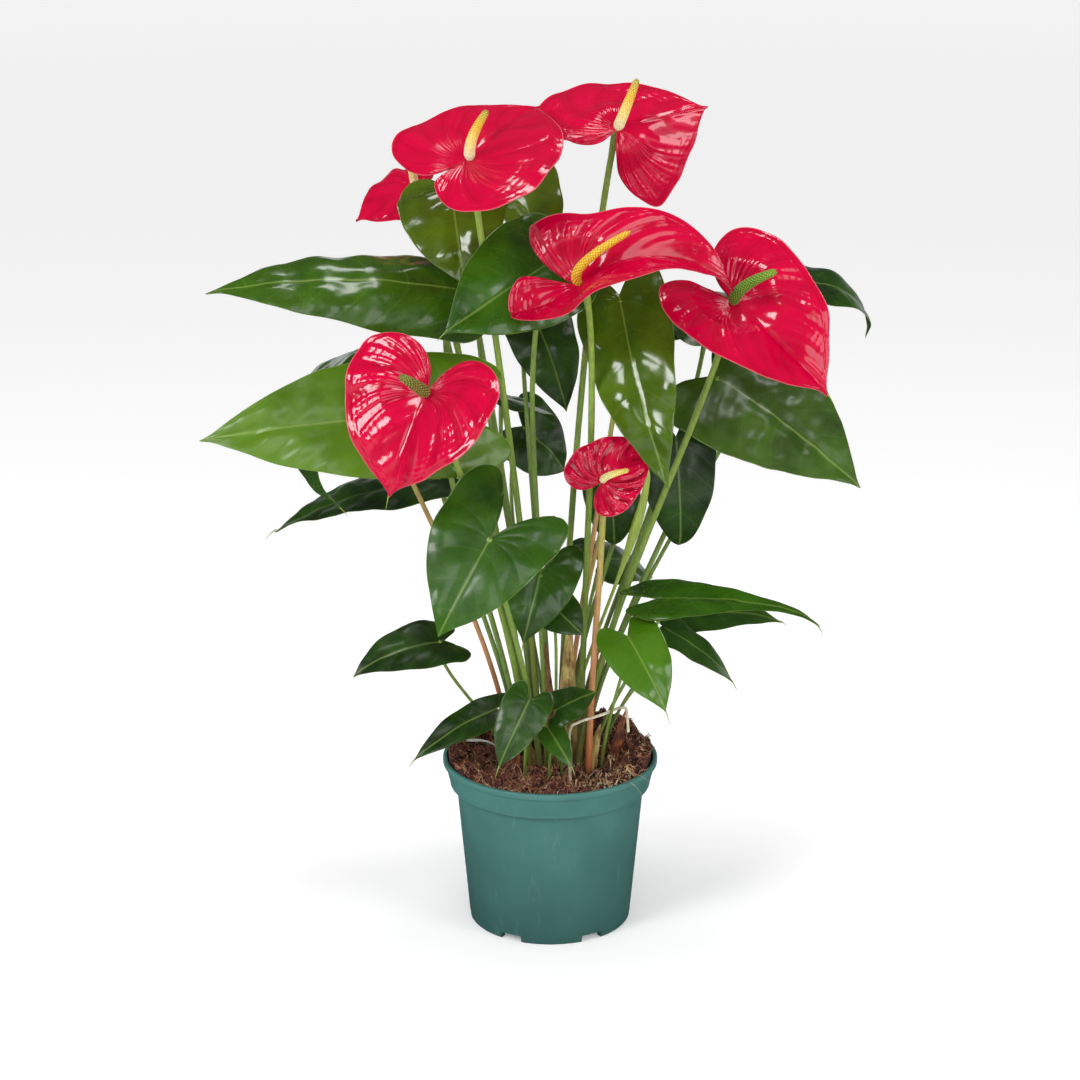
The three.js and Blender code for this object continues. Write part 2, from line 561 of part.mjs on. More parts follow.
function addSoil() {
  const gap = SEAT_GAP;
  const bandR = POT_SHOULDER_R + BAND_STEP + 0.4 - WALL - gap;
  const profile = [
    [0, FLOOR_RISE + WALL + gap],
    [wallRadius(FLOOR_RISE) - WALL - gap, FLOOR_RISE + WALL + gap],
    [wallRadius(BAND_BOTTOM) - WALL - gap, BAND_BOTTOM + WALL + gap],
    [bandR, BAND_BOTTOM + WALL + gap],
    [bandR + 1.4, SOIL_EDGE - 2], [73, SOIL_EDGE], [61, SOIL_EDGE], [48, SOIL_EDGE],
    [35, SOIL_EDGE], [20, SOIL_EDGE], [8, SOIL_EDGE], [0, SOIL_EDGE],
  ];
  const geometry = lathe(profile, POT_SIDES);
  const place = geometry.getAttribute("position");
  for (let i = 0; i < place.count; i++) {
    if (place.getZ(i) > SOIL_EDGE - 1) place.setZ(i, soilHeight(place.getX(i), place.getY(i)));
  }
  add("soil", holes.reduce((soil, hole) => soil.subtract(hole), bodyOf(geometry)), "#3a2a20", 0.95);
}
addSoil();

export default plant;
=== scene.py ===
"""A potted anthurium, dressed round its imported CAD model. Lengths are millimetres until a mesh is made."""
import math
from types import SimpleNamespace

import bmesh
import bpy
import mathutils
import numpy as np
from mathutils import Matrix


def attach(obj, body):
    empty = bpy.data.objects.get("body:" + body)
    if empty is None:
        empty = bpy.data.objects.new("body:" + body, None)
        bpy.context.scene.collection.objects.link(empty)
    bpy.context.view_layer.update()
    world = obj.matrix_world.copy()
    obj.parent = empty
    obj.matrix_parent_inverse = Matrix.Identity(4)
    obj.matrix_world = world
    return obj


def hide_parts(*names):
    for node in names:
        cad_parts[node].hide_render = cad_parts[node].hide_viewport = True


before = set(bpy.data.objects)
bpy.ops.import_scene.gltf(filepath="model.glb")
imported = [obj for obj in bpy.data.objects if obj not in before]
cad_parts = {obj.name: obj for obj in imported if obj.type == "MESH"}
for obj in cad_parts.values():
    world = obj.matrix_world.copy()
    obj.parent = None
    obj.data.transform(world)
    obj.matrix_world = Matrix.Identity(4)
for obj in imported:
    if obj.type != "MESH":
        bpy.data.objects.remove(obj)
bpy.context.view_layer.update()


# ---------- Camera ----------
# The view of the photo, found from the ellipses of the pot's rim and base. It stands about 2.2 m in front
# of the plant, a little above its top, and looks down at the pot.

CAMERA_PLACE = (-0.008, -2.2, 1.025)
CAMERA_TILT = 72.1
camera_data = bpy.data.cameras.new("camera")
camera_data.sensor_width = 36
camera_data.lens = 99.37
camera = bpy.data.objects.new("camera", camera_data)
camera.location = CAMERA_PLACE
camera.rotation_euler = (math.radians(CAMERA_TILT), 0, 0)
bpy.context.scene.collection.objects.link(camera)
bpy.context.scene.camera = camera


# ---------- Pot ----------
# A 17 cm nursery pot of teal polypropylene, injection moulded with a stepped rim band, a rolled lip,
# a raised floor with drain holes and a ring of feet. The moulded skin is satin and finely scuffed.

POT_RIM_R = 85
POT_HEIGHT = 136
POT_BASE_R = 64
POT_SHOULDER_R = 74.4
BAND_BOTTOM = 113.5
BAND_R = 79
WALL = 1.6
FLOOR = 7
FOOT_WIDTH = 6
NOTCHES = 6
FIRST_NOTCH = -59
NOTCH_WIDTH = 18
NOTCH_HEIGHT = 5.6
NOTCH_ROUNDING = 1.6
NOTCH_REACH = (51, 75)
NOTCH_BELOW = -3
DRAIN_R = 5
DRAIN_RING_R = 36
DRAIN_REACH = (0, 14)
POT_SIDES = 192
SHARP_EDGE = math.radians(32)
# Patterns per metre: flow clouds 45 mm wide, rubbed scuffs of 8 mm and the mould's grain, which is finer
# than 0.5 mm in life and is drawn 1.1 mm wide so that it shows.
FLOW_SCALE = 22
SCUFF_SCALE = 130
MOULD_SCALE = 900


def linear(colour):
    """An sRGB hex value as linear red, green, blue and a full alpha."""
    parts = [int(colour[i:i + 2], 16) / 255 for i in (1, 3, 5)]
    return [c / 12.92 if c <= 0.04045 else ((c + 0.055) / 1.055) ** 2.4 for c in parts] + [1.0]


def result(value):
    """A node's result socket. A socket or a plain value stays as it is."""
    return next(s for s in value.outputs if s.enabled) if isinstance(value, bpy.types.Node) else value


def add_node(material, kind, inputs=(), stops=None, **settings):
    """A shader node with its settings. Inputs are named, or listed in the node's own order, such as value,
    from low, from high, to low, to high. Each is a value, a socket or a node whose result it takes."""
    made = material.node_tree.nodes.new("ShaderNode" + kind)
    for name, value in settings.items():
        setattr(made, name, value)
    for key, value in inputs.items() if isinstance(inputs, dict) else enumerate(inputs):
        value = result(value)
        if isinstance(value, bpy.types.NodeSocket):
            material.node_tree.links.new(value, made.inputs[key])
        else:
            made.inputs[key].default_value = value
    if stops:
        elements = made.color_ramp.elements
        while len(elements) < len(stops):
            elements.new(0.5)
        for element, (place, colour) in zip(elements, stops):
            element.position = place
            element.color = linear(colour)
    return made


def new_material(name, **numbers):
    """A material, its surface shader with the numbers that are the same all over it, and the places on
    the object in metres, which patterns are laid out by."""
    made = bpy.data.materials.new(name)
    made.use_nodes = True
    shader = made.node_tree.nodes["Principled BSDF"]
    for key, value in numbers.items():
        shader.inputs[key.replace("_", " ")].default_value = value
    return made, shader, add_node(made, "TexCoord").outputs["Object"]


def feed(material, shader, **nodes):
    """Links nodes to a shader's sockets."""
    for key, node in nodes.items():
        material.node_tree.links.new(result(node), shader.inputs[key.replace("_", " ")])


def make_piece(name, points, faces, materials, paint=None, fields=None):
    """A smooth mesh object from points in mm and lists of faces, each an array of corner numbers."""
    faces = [np.asarray(group, int) for group in faces if len(group)]
    counts = np.concatenate([np.full(len(group), group.shape[1]) for group in faces])
    corners = np.concatenate([group.ravel() for group in faces])
    mesh = bpy.data.meshes.new(name)
    mesh.vertices.add(len(points))
    mesh.vertices.foreach_set("co", (np.asarray(points) / 1000).ravel())
    mesh.loops.add(len(corners))
    mesh.loops.foreach_set("vertex_index", corners)
    mesh.polygons.add(len(counts))
    mesh.polygons.foreach_set("loop_start", np.concatenate([[0], np.cumsum(counts)[:-1]]))
    if paint is not None:
        mesh.polygons.foreach_set("material_index", paint)
    mesh.update(calc_edges=True)
    mesh.validate()
    mesh.shade_smooth()
    for material in materials:
        mesh.materials.append(material)
    for key, values in (fields or {}).items():
        values = np.asarray(values, np.float32)
        kind = {1: "FLOAT", 2: "FLOAT_VECTOR"}[values.ndim]
        attribute = mesh.attributes.new(key, kind, "POINT")
        attribute.data.foreach_set("value" if kind == "FLOAT" else "vector", values.ravel())
    made = bpy.data.objects.new(name, mesh)
    bpy.context.scene.collection.objects.link(made)
    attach(made, "root")
    return made


def grid_faces(rows, columns, closed=False):
    """Quads of a grid of points, row by row. A closed one joins its last column to its first."""
    i, j = np.meshgrid(np.arange(rows - 1), np.arange(columns if closed else columns - 1), indexing="ij")
    k = (j + 1) % columns
    corners = [i * columns + j, (i + 1) * columns + j, (i + 1) * columns + k, i * columns + k]
    return np.stack(corners, -1).reshape(-1, 4)


def rings(profile, sides):
    """A circle of points round the Z axis for each (radius, height)."""
    turns = np.linspace(0, 2 * np.pi, sides, endpoint=False)
    radius, height = np.array(profile, float).T[..., None]
    return np.stack([radius * np.cos(turns), radius * np.sin(turns), height + 0 * turns], -1)


def weld(points, quads, *fields):
    """Joins points in one place. A quad that loses a corner becomes a triangle, and a field keeps its
    first value. Gives points, quads and triangles, fields and each old point's new number."""
    key = np.round(points, 4) + 0.0
    _, first, number = np.unique(key, axis=0, return_index=True, return_inverse=True)
    quads = number.reshape(-1)[quads]
    following = np.roll(quads, -1, axis=1)
    twins = (quads == following).sum(1)
    narrow = quads[twins == 1]
    place = (narrow == np.roll(narrow, -1, axis=1)).argmax(1)
    keep = (place[:, None] + np.array([1, 2, 3])) % 4
    triangles = np.take_along_axis(narrow, keep, 1)
    kept = [quads[twins == 0], triangles]
    return points[first], kept, [field[first] for field in fields], number.reshape(-1)


def wall_radius(z):
    """Outer radius of the tapered wall at a height."""
    return POT_BASE_R + (POT_SHOULDER_R - POT_BASE_R) * z / BAND_BOTTOM


def arc(centre, radius, start, end, steps=6):
    """Profile points round a moulded corner, from one angle in degrees to another."""
    turns = np.radians(np.linspace(start, end, steps))
    return [(centre[0] + radius * math.cos(t), centre[1] + radius * math.sin(t)) for t in turns]


def pot_profile():
    """Once round the wall: down the outside, under the floor and up the inside."""
    inner_band = BAND_R + 0.4 - WALL
    return [
        *arc((POT_RIM_R - 1.2, POT_HEIGHT - 1.2), 1.2, 90, 0),
        *arc((POT_RIM_R - 0.9, POT_HEIGHT - 3.9), 0.9, 0, -60),
        (POT_RIM_R - 1.7, POT_HEIGHT - 5.2), (POT_RIM_R - 2.4, POT_HEIGHT - 6.5),
        *[(POT_RIM_R - 2.5 - 3 * k / 5, POT_HEIGHT - 7.5 - 13 * k / 5) for k in range(6)],
        *arc((BAND_R - 0.5, BAND_BOTTOM + 0.9), 0.9, 0, -90),
        *arc((POT_SHOULDER_R + 0.9, BAND_BOTTOM - 0.9), 0.9, 90, 180),
        *[(wall_radius(z), z) for z in range(108, 5, -6)],
        *arc((POT_BASE_R - 1.0, 1.0), 1.0, 0, -90),
        *arc((POT_BASE_R - FOOT_WIDTH + 0.8, 0.8), 0.8, 270, 180),
        *arc((POT_BASE_R - FOOT_WIDTH - 0.8, FLOOR - 0.8), 0.8, 0, 90),
        *[(r, FLOOR) for r in range(54, 3, -6)],
        (0, FLOOR), (0, FLOOR + WALL),
        *[(r, FLOOR + WALL) for r in range(6, 55, 6)],
        (wall_radius(FLOOR) - WALL, FLOOR + WALL),
        *[(wall_radius(z) - WALL, z) for z in range(16, 113, 12)],
        (wall_radius(BAND_BOTTOM) - WALL, BAND_BOTTOM + WALL), (inner_band, BAND_BOTTOM + WALL),
        (inner_band + 1.2, 124), (POT_RIM_R - 3.4, POT_HEIGHT - 2),
        *arc((POT_RIM_R - 2.5, POT_HEIGHT - 0.9), 0.9, 180, 90),
    ]


def cutter(points, faces):
    """A solid that a boolean takes away, deleted once it is used."""
    mesh = bpy.data.meshes.new("cutter")
    mesh.from_pydata([tuple(p / 1000) for p in points], [], faces)
    made = bpy.data.objects.new("cutter", mesh)
    bpy.context.scene.collection.objects.link(made)
    return made


def add_cutters():
    """The six notches between the feet, with rounded tops, and a drain hole inside each."""
    made = []
    for i in range(NOTCHES):
        turn = math.radians(FIRST_NOTCH + 360 / NOTCHES * i)
        out = np.array([math.cos(turn), math.sin(turn), 0])
        side = np.array([-math.sin(turn), math.cos(turn), 0])
        corner = (NOTCH_WIDTH / 2 - NOTCH_ROUNDING, NOTCH_HEIGHT - NOTCH_ROUNDING)
        right = [(NOTCH_WIDTH / 2, NOTCH_BELOW), *arc(corner, NOTCH_ROUNDING, 0, 90)]
        shape = [*right, *[(-x, z) for x, z in reversed(right)]]
        hole = [(DRAIN_R * math.cos(t), DRAIN_R * math.sin(t)) for t in np.linspace(0, 2 * np.pi, 25)[:-1]]
        notch = [out * r + side * x + (0, 0, z) for r in NOTCH_REACH for x, z in shape]
        drain = [out * (DRAIN_RING_R + x) + side * y + (0, 0, z) for z in DRAIN_REACH for x, y in hole]
        for points, count in ((notch, len(shape)), (drain, len(hole))):
            sides = [(k, (k + 1) % count, count + (k + 1) % count, count + k) for k in range(count)]
            made.append(cutter(points, [tuple(range(count))[::-1], tuple(range(count, 2 * count)), *sides]))
    return made


def pot_plastic():
    """Polypropylene, moulded in teal: satin skin, faint cloudy flow in the colour and dry rubbed scuffs.
    It has painted shade towards its foot: a deeper tone that stands in for the dimmer lighting there."""
    made, shader, place = new_material("polypropylene_moulded_teal", IOR=1.49)
    flow = add_node(made, "TexNoise", {"Vector": place, "Scale": FLOW_SCALE, "Detail": 3, "Roughness": 0.5})
    body = add_node(made, "ValToRGB", [flow], stops=[(0.3, "#3E706A"), (0.7, "#488079")])
    # Painted shade: the teal darkens towards the foot, most at the floor and fading out 13 cm up.
    height = add_node(made, "SeparateXYZ", [place]).outputs["Z"]
    painted_foot_shade = add_node(made, "MapRange", [height, 0, 0.13, 0.74, 0])
    body = add_node(made, "Mix", {"Factor": painted_foot_shade, "A": body, "B": linear("#234A47")}, data_type="RGBA")
    stretch = add_node(made, "Mapping", {"Vector": place, "Scale": (1, 1, 0.18)})
    rubbed = add_node(made, "TexNoise", {
        "Vector": stretch, "Scale": SCUFF_SCALE, "Detail": 5, "Roughness": 0.7})
    scuff = add_node(made, "MapRange", [rubbed, 0.6, 0.78, 0, 0.3])
    colour = add_node(made, "Mix", {"Factor": scuff, "A": body, "B": linear("#7FA9A2")}, data_type="RGBA")
    rough = add_node(made, "MapRange", [rubbed, 0, 1, 0.3, 0.5])
    grain = add_node(made, "TexNoise", {"Vector": place, "Scale": MOULD_SCALE, "Detail": 2})
    relief = add_node(made, "Bump", {"Strength": 0.12, "Distance": 0.0004, "Height": grain})
    feed(made, shader, Base_Color=colour, Roughness=rough, Normal=relief)
    return made


profile = pot_profile()
points = rings([*profile, profile[0]], POT_SIDES).reshape(-1, 3)
points, faces, _, _ = weld(points, grid_faces(len(profile) + 1, POT_SIDES, closed=True))
pot = make_piece("pot_moulded", points, faces, [pot_plastic()])
for tool in add_cutters():
    cut = pot.modifiers.new("cut", "BOOLEAN")
    cut.object = tool
    cut.operation = "DIFFERENCE"
    cut.solver = "EXACT"
    with bpy.context.temp_override(object=pot, active_object=pot):
        bpy.ops.object.modifier_apply(modifier=cut.name)
    bpy.data.objects.remove(tool)
shape = bmesh.new()
shape.from_mesh(pot.data)
for edge in shape.edges:
    edge.smooth = edge.is_manifold and edge.calc_face_angle(0) < SHARP_EDGE
shape.to_mesh(pot.data)
shape.free()
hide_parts("pot")


# ---------- Potting mix ----------
# Moist dark peat with coir: crumbs and lumps heaped up round the stems and against the wall, and a mat
# of loose reddish and golden coir fibres that lie over them. It is dull and drinks in the light.

SOIL_EDGE = 128
SOIL_MOUND = 8
SOIL_LUMP = 1.2
SOIL_R = 80.8
SOIL_FOOT_R = 62
SOIL_RINGS = 84
SOIL_SIDES = 300
# Radius and height of the rings that close the mix below its top.
SOIL_SIDE = [(SOIL_R - 3.2, 119), (wall_radius(110) - 2.2, 114), (SOIL_FOOT_R, 9.4), (0, 9.4)]
RIM_REACH = 83.4
OVER_RIM = 137.2
CRUMBS = 3600
FIBRES = 2200
FIBRE_STEPS = 9
STRAW_PLACE = (42, -42)
STRAW_SPREAD = 34
PEAT_TONES = ["#361B18", "#563028", "#74463C", "#986050", "#BC8270"]
COIR_TONES = ["#7A3C2E", "#A45A46", "#BE785A", "#D09A72", "#E8BC88", "#F8E4BC"]
# Each heap's place, its width and its height.
HEAPS = [(46, 40, 27, 10), (-68, 8, 17, 7), (70, -12, 24, 7), (30, -66, 16, 3)]
# Patterns per metre: clods of 6 mm, streaks 2.4 mm long, and peat grains, which are drawn 1.1 mm wide
# because finer ones don't show.
CLOD_SCALE = 160
STREAK_SCALE = 420
GRAIN_SCALE = 900
# Two long fibres that hang over the rim in front.
LOOSE_FIBRES = [
    [(48, -50, 136), (55, -58, 138), (61, -63, 138.6), (67, -67, 135), (71, -69, 129.5), (75, -68, 126.5)],
    [(58, -44, 137), (66, -49, 139), (73, -53, 138), (78, -54, 133)],
]
rng = np.random.default_rng(17)


def smooth(value, low, high):
    """A soft step from 0 at low to 1 at high."""
    share = np.clip((value - low) / (high - low), 0, 1)
    return share * share * (3 - 2 * share)


def soil_height(x, y):
    """Height of the mix in mm, as the stems' holes were set out on it."""
    r = np.hypot(x, y) / POT_RIM_R
    broad = np.sin(x / 7 + 1.2 * np.sin(y / 11))
    cross = np.sin(y / 6 + x / 15)
    return SOIL_EDGE + SOIL_MOUND * (1 - smooth(r, 0.1, 0.95)) + SOIL_LUMP * (broad + cross)


def ripples(seed, size, count=9):
    """A smooth random field of about +-1 over x and y. Its bumps are about size mm across."""
    draw = np.random.default_rng(seed)
    turn = draw.uniform(0, 2 * np.pi, count)
    pace = 2 * np.pi / (size * draw.uniform(0.7, 1.8, count))
    start = draw.uniform(0, 2 * np.pi, count)

    def field(x, y):
        x, y = np.asarray(x, float), np.asarray(y, float)
        waves = [np.sin(p * (x * math.cos(t) + y * math.sin(t)) + s) for t, p, s in zip(turn, pace, start)]
        return sum(waves) / math.sqrt(count / 2)

    return field


soil_clods = ripples(1, 16)
soil_crumb = ripples(2, 5)
soil_grit = ripples(3, 2.2, 14)


def soil_top(x, y):
    """The visible surface: clods, and a bank that the mix makes against the wall of the pot."""
    r = np.hypot(x, y)
    side = np.arctan2(y, x)
    uneven = 2.2 * np.sin(side * 2 + 0.6) + 1.4 * np.sin(side * 5 + 2)
    bank = smooth(r, 52, 74) * (4.2 + 3.4 * (1 + np.sin(side)) + uneven)
    rough = 2.1 * soil_clods(x, y) + 1.2 * soil_crumb(x, y) + 0.45 * soil_grit(x, y)
    heap = sum(h * np.exp(-((x - cx) ** 2 + (y - cy) ** 2) / width**2) for cx, cy, width, h in HEAPS)
    return soil_height(x, y) + bank + heap + rough * (1 - 0.6 * smooth(r, 74, 79))


def tube(path, radii, sides, turn=None):
    """A closed round stem along path, with a radius for each point. Gives points, quads, end triangles,
    each point's share of the way and its angle. turn(share, angle) changes the radius."""
    path = np.asarray(path, float)
    n = len(path)
    radii = np.broadcast_to(np.asarray(radii, float), (n,))
    along = np.gradient(path, axis=0)
    along /= np.linalg.norm(along, axis=1)[:, None]
    across = np.cross(along[0], [0.3, 1, 0.2])
    frames = []
    for way in along:
        across = across - way * (across @ way)
        across /= np.linalg.norm(across)
        frames.append((across, np.cross(way, across)))
    angles = np.linspace(0, 2 * np.pi, sides, endpoint=False)
    share = np.linspace(0, 1, n)
    size = radii[:, None] * np.ones(sides)
    if turn:
        size = size * turn(share[:, None] + 0 * angles, angles + 0 * share[:, None])
    a = np.array([f[0] for f in frames])[:, None]
    b = np.array([f[1] for f in frames])[:, None]
    ring = path[:, None] + size[..., None] * (a * np.cos(angles)[:, None] + b * np.sin(angles)[:, None])
    points = np.concatenate([ring.reshape(-1, 3), path[:1], path[-1:]])
    quads = np.roll(grid_faces(n, sides, closed=True)[:, ::-1], 1, axis=1)
    j = np.arange(sides)
    k = (j + 1) % sides
    foot, last = n * sides, (n - 1) * sides
    start, finish = foot + 0 * j, foot + 1 + 0 * j
    ends = np.concatenate([np.stack([k, j, start], 1), np.stack([last + j, last + k, finish], 1)])
    share = np.concatenate([np.repeat(share, sides), [0, 1]])
    return points, quads, ends, share, np.concatenate([np.tile(angles, n), [0, 0]])


class Pile:
    """Loose scraps gathered into one mesh, each with a tone of its own."""

    def __init__(self):
        self.points, self.quads, self.triangles, self.tones, self.count = [], [], [], [], 0

    def add(self, points, quads, triangles, tone):
        self.points.append(points)
        self.quads.append(np.asarray(quads, int).reshape(-1, 4) + self.count)
        self.triangles.append(np.asarray(triangles, int).reshape(-1, 3) + self.count)
        self.tones.append(np.broadcast_to(tone, (len(points), 3)))
        self.count += len(points)

    def make(self, name, material):
        faces = [np.concatenate(self.quads), np.concatenate(self.triangles)]
        fields = {"tone": np.concatenate(self.tones)}
        return make_piece(name, np.concatenate(self.points), faces, [material], fields=fields)


def shade_tones(made, shader, pattern, stops):
    """Colours a pile by each scrap's own tone, shaded by a pattern."""
    tone = add_node(made, "Attribute", attribute_name="tone").outputs["Vector"]
    shade = add_node(made, "ValToRGB", [pattern], stops=stops)
    mixed = {"Factor": 1.0, "A": tone, "B": shade}
    feed(made, shader, Base_Color=add_node(made, "Mix", mixed, data_type="RGBA", blend_type="MULTIPLY"))


def peat():
    """Peat: dark, matt and crumbly, wetter and darker in its hollows."""
    made, shader, place = new_material("peat_moist", Roughness=0.92, IOR=1.4)
    clods = add_node(made, "TexNoise", {"Vector": place, "Scale": CLOD_SCALE, "Detail": 8, "Roughness": 0.75})
    shade_tones(made, shader, clods, [(0.36, "#303030"), (0.62, "#D0D0D0"), (0.8, "#FFFFFF")])
    grain = add_node(made, "TexNoise", {"Vector": place, "Scale": GRAIN_SCALE, "Detail": 4, "Roughness": 0.8})
    feed(made, shader, Normal=add_node(made, "Bump", {"Strength": 0.8, "Distance": 0.0008, "Height": grain}))
    return made


def coir():
    """Coir: coarse coconut fibre with a slight dry sheen, streaked along its length."""
    made, shader, place = new_material("coir_fibre", Roughness=0.62, IOR=1.53)
    streak = add_node(made, "TexNoise", {"Vector": place, "Scale": STREAK_SCALE, "Detail": 3})
    shade_tones(made, shader, streak, [(0.3, "#9A9A9A"), (0.7, "#FFFFFF")])
    return made


def soil_body():
    """The body of the mix in the pot, with its heaped top."""
    top = rings([(SOIL_R * math.sqrt(share), 0) for share in np.linspace(0, 1, SOIL_RINGS)], SOIL_SIDES)
    top[..., 2] = soil_top(top[..., 0], top[..., 1])
    grid = np.concatenate([top, rings(SOIL_SIDE, SOIL_SIDES)])
    points, faces, _, _ = weld(grid.reshape(-1, 3), grid_faces(len(grid), SOIL_SIDES, closed=True))
    tones = np.tile(linear(PEAT_TONES[2])[:3], (len(points), 1))
    return make_piece("soil_body", points, faces, [peat()], fields={"tone": tones})


def ball():
    """A small icosahedron, the start of a crumb."""
    g = (1 + math.sqrt(5)) / 2
    corners = np.array([(-1, g, 0), (1, g, 0), (-1, -g, 0), (1, -g, 0), (0, -1, g), (0, 1, g),
                        (0, -1, -g), (0, 1, -g), (g, 0, -1), (g, 0, 1), (-g, 0, -1), (-g, 0, 1)], float)
    faces = [(0, 11, 5), (0, 5, 1), (0, 1, 7), (0, 7, 10), (0, 10, 11), (1, 5, 9), (5, 11, 4), (11, 10, 2),
             (10, 7, 6), (7, 1, 8), (3, 9, 4), (3, 4, 2), (3, 2, 6), (3, 6, 8), (3, 8, 9), (4, 9, 5),
             (2, 4, 11), (6, 2, 10), (8, 6, 7), (9, 8, 1)]
    return corners / np.linalg.norm(corners[0]), np.array(faces)


def scatter_place():
    """A random place on the mix, a little denser near the wall."""
    r = (SOIL_R - 3) * rng.uniform(0, 1) ** 0.45
    side = rng.uniform(0, 2 * np.pi)
    return r * math.cos(side), r * math.sin(side)


def add_crumbs():
    """Lumps of peat, most of them small, that lie on the top of the mix."""
    corners, faces = ball()
    pile = Pile()
    for _ in range(CRUMBS):
        x, y = scatter_place()
        size = 0.5 + 1.5 * rng.uniform() ** 3
        rough = corners * rng.uniform(0.55, 1.25, (12, 1)) * size
        shape = rough * rng.uniform([0.7, 0.7, 0.5], [1.5, 1.1, 0.9])
        turn = rng.uniform(0, 2 * np.pi)
        cos, sin = math.cos(turn), math.sin(turn)
        spin = np.array([[cos, -sin, 0], [sin, cos, 0], [0, 0, 1]])
        place = np.array([x, y, float(soil_top(x, y)) + 0.25 * size])
        pile.add(shape @ spin.T + place, [], faces, linear(rng.choice(PEAT_TONES))[:3])
    return pile.make("soil_crumbs", bpy.data.materials["peat_moist"])


def add_fibres():
    """Coir that lies in loose curves over the crumbs, shorter and paler like chopped straw at the front
    right. Some ends lift, and a few reach over the rim."""
    pile = Pile()
    for i in range(FIBRES):
        x, y = scatter_place()
        away = math.dist((x, y), STRAW_PLACE)
        straw = rng.uniform() < 0.75 * math.exp(-((away / STRAW_SPREAD) ** 2))
        length = rng.uniform(3, 10) if straw else rng.uniform(8, 36)
        heading = rng.uniform(0, 2 * np.pi)
        bend = rng.normal(0, 0.2)
        lift = max(0, rng.normal(0.2, 1.3)) if i % 6 else rng.uniform(1, 6)
        over = i % 9 == 0
        path = []
        for k in range(FIBRE_STEPS):
            heading += bend + rng.normal(0, 0.1)
            x += math.cos(heading) * length / FIBRE_STEPS
            y += math.sin(heading) * length / FIBRE_STEPS
            r = math.hypot(x, y)
            reach = RIM_REACH if over else SOIL_R - 0.8
            if r > reach:
                x, y = x * reach / r, y * reach / r
            level = float(soil_top(x, y)) + 0.5 + lift * (k / FIBRE_STEPS) ** 2 + rng.normal(0, 0.12)
            path.append((x, y, max(level, OVER_RIM) if over and r > SOIL_R - 1.5 else level))
        radius = rng.uniform(0.35, 0.8) if straw else rng.uniform(0.16, 0.42)
        taper = radius * (1 - 0.6 * np.linspace(0, 1, FIBRE_STEPS) ** 2)
        points, quads, ends, _, _ = tube(path, taper, 4)
        pick = rng.integers(3, 6) if straw else int(rng.uniform() * 4.6)
        pile.add(points, quads, ends, linear(COIR_TONES[pick])[:3])
    for path in LOOSE_FIBRES:
        points, quads, ends, _, _ = tube(path, np.linspace(0.22, 0.1, len(path)), 4)
        pile.add(points, quads, ends, linear(COIR_TONES[4])[:3])
    return pile.make("soil_coir_fibres", coir())


soil = soil_body()
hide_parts("soil")
add_crumbs()
add_fibres()


# ---------- Leaves ----------
# Heart-shaped leathery leaves with a waxy, glossy skin, each on a slender stalk with a swollen knee. Curved
# side veins leave a pale midrib, quilt the blade and meet a vein that follows the margin. A blade is built
# flat as a grid along its veins, given its relief and then bent to its place.

ROOT_DEPTH = 14
ROOT_CLEAR = 3
KNEE_LENGTH = 5
TURNING = 0.3
HEAD_START = 0.33
FLAT_R = 9
LOBE_REACH = 0.27
RIB_STEPS = 16
BLADE_THICK = 0.62
# Round parts are a little thinner than their solids, so that their grooves and bumps stay within them.
INSIDE = 0.95
LEAF_PITCH = 1.5
UP = np.array([0.0, 0.0, 1.0])

LEAF = [
    (0, 1), (0.06, 0.95), (0.24, 0.86), (0.56, 0.69), (0.84, 0.46), (0.98, 0.21),
    (1, -0.01), (0.9, -0.17), (0.66, -0.26), (0.4, -0.24), (0.17, -0.13), (0, -0.03),
]
ARROW = [
    (0, 1), (0.1, 0.9), (0.36, 0.73), (0.66, 0.5), (0.87, 0.22), (0.97, -0.08),
    (1, -0.34), (0.9, -0.54), (0.68, -0.6), (0.44, -0.48), (0.19, -0.22), (0, -0.04),
]
TAPERED = [
    (0, 1), (0.1, 0.84), (0.24, 0.62), (0.44, 0.4), (0.72, 0.22), (0.94, 0.07),
    (1, -0.07), (0.86, -0.19), (0.6, -0.25), (0.34, -0.21), (0.12, -0.1), (0, -0.03),
]
SHALLOW = [*LEAF[:7], (0.9, -0.11), (0.68, -0.17), (0.4, -0.16), (0.17, -0.1), (0, -0.03)]

FLAT_BLADE = dict(
    outline=LEAF, arch=30, roll=0, twist=0, hook=0, fold=8, curl=-22, lift=0, swing=0, wave=2, waves=2.2,
    phase=1, edge=0.009, veins=10, slant=0.6, spread=0.5, bow=0.09, turning=TURNING, light=0.3, olive=0.0,
    gloss=0.5, blush=0.0, drip=0, stripes=0,
)
SMALL = dict(wave=1, veins=8)
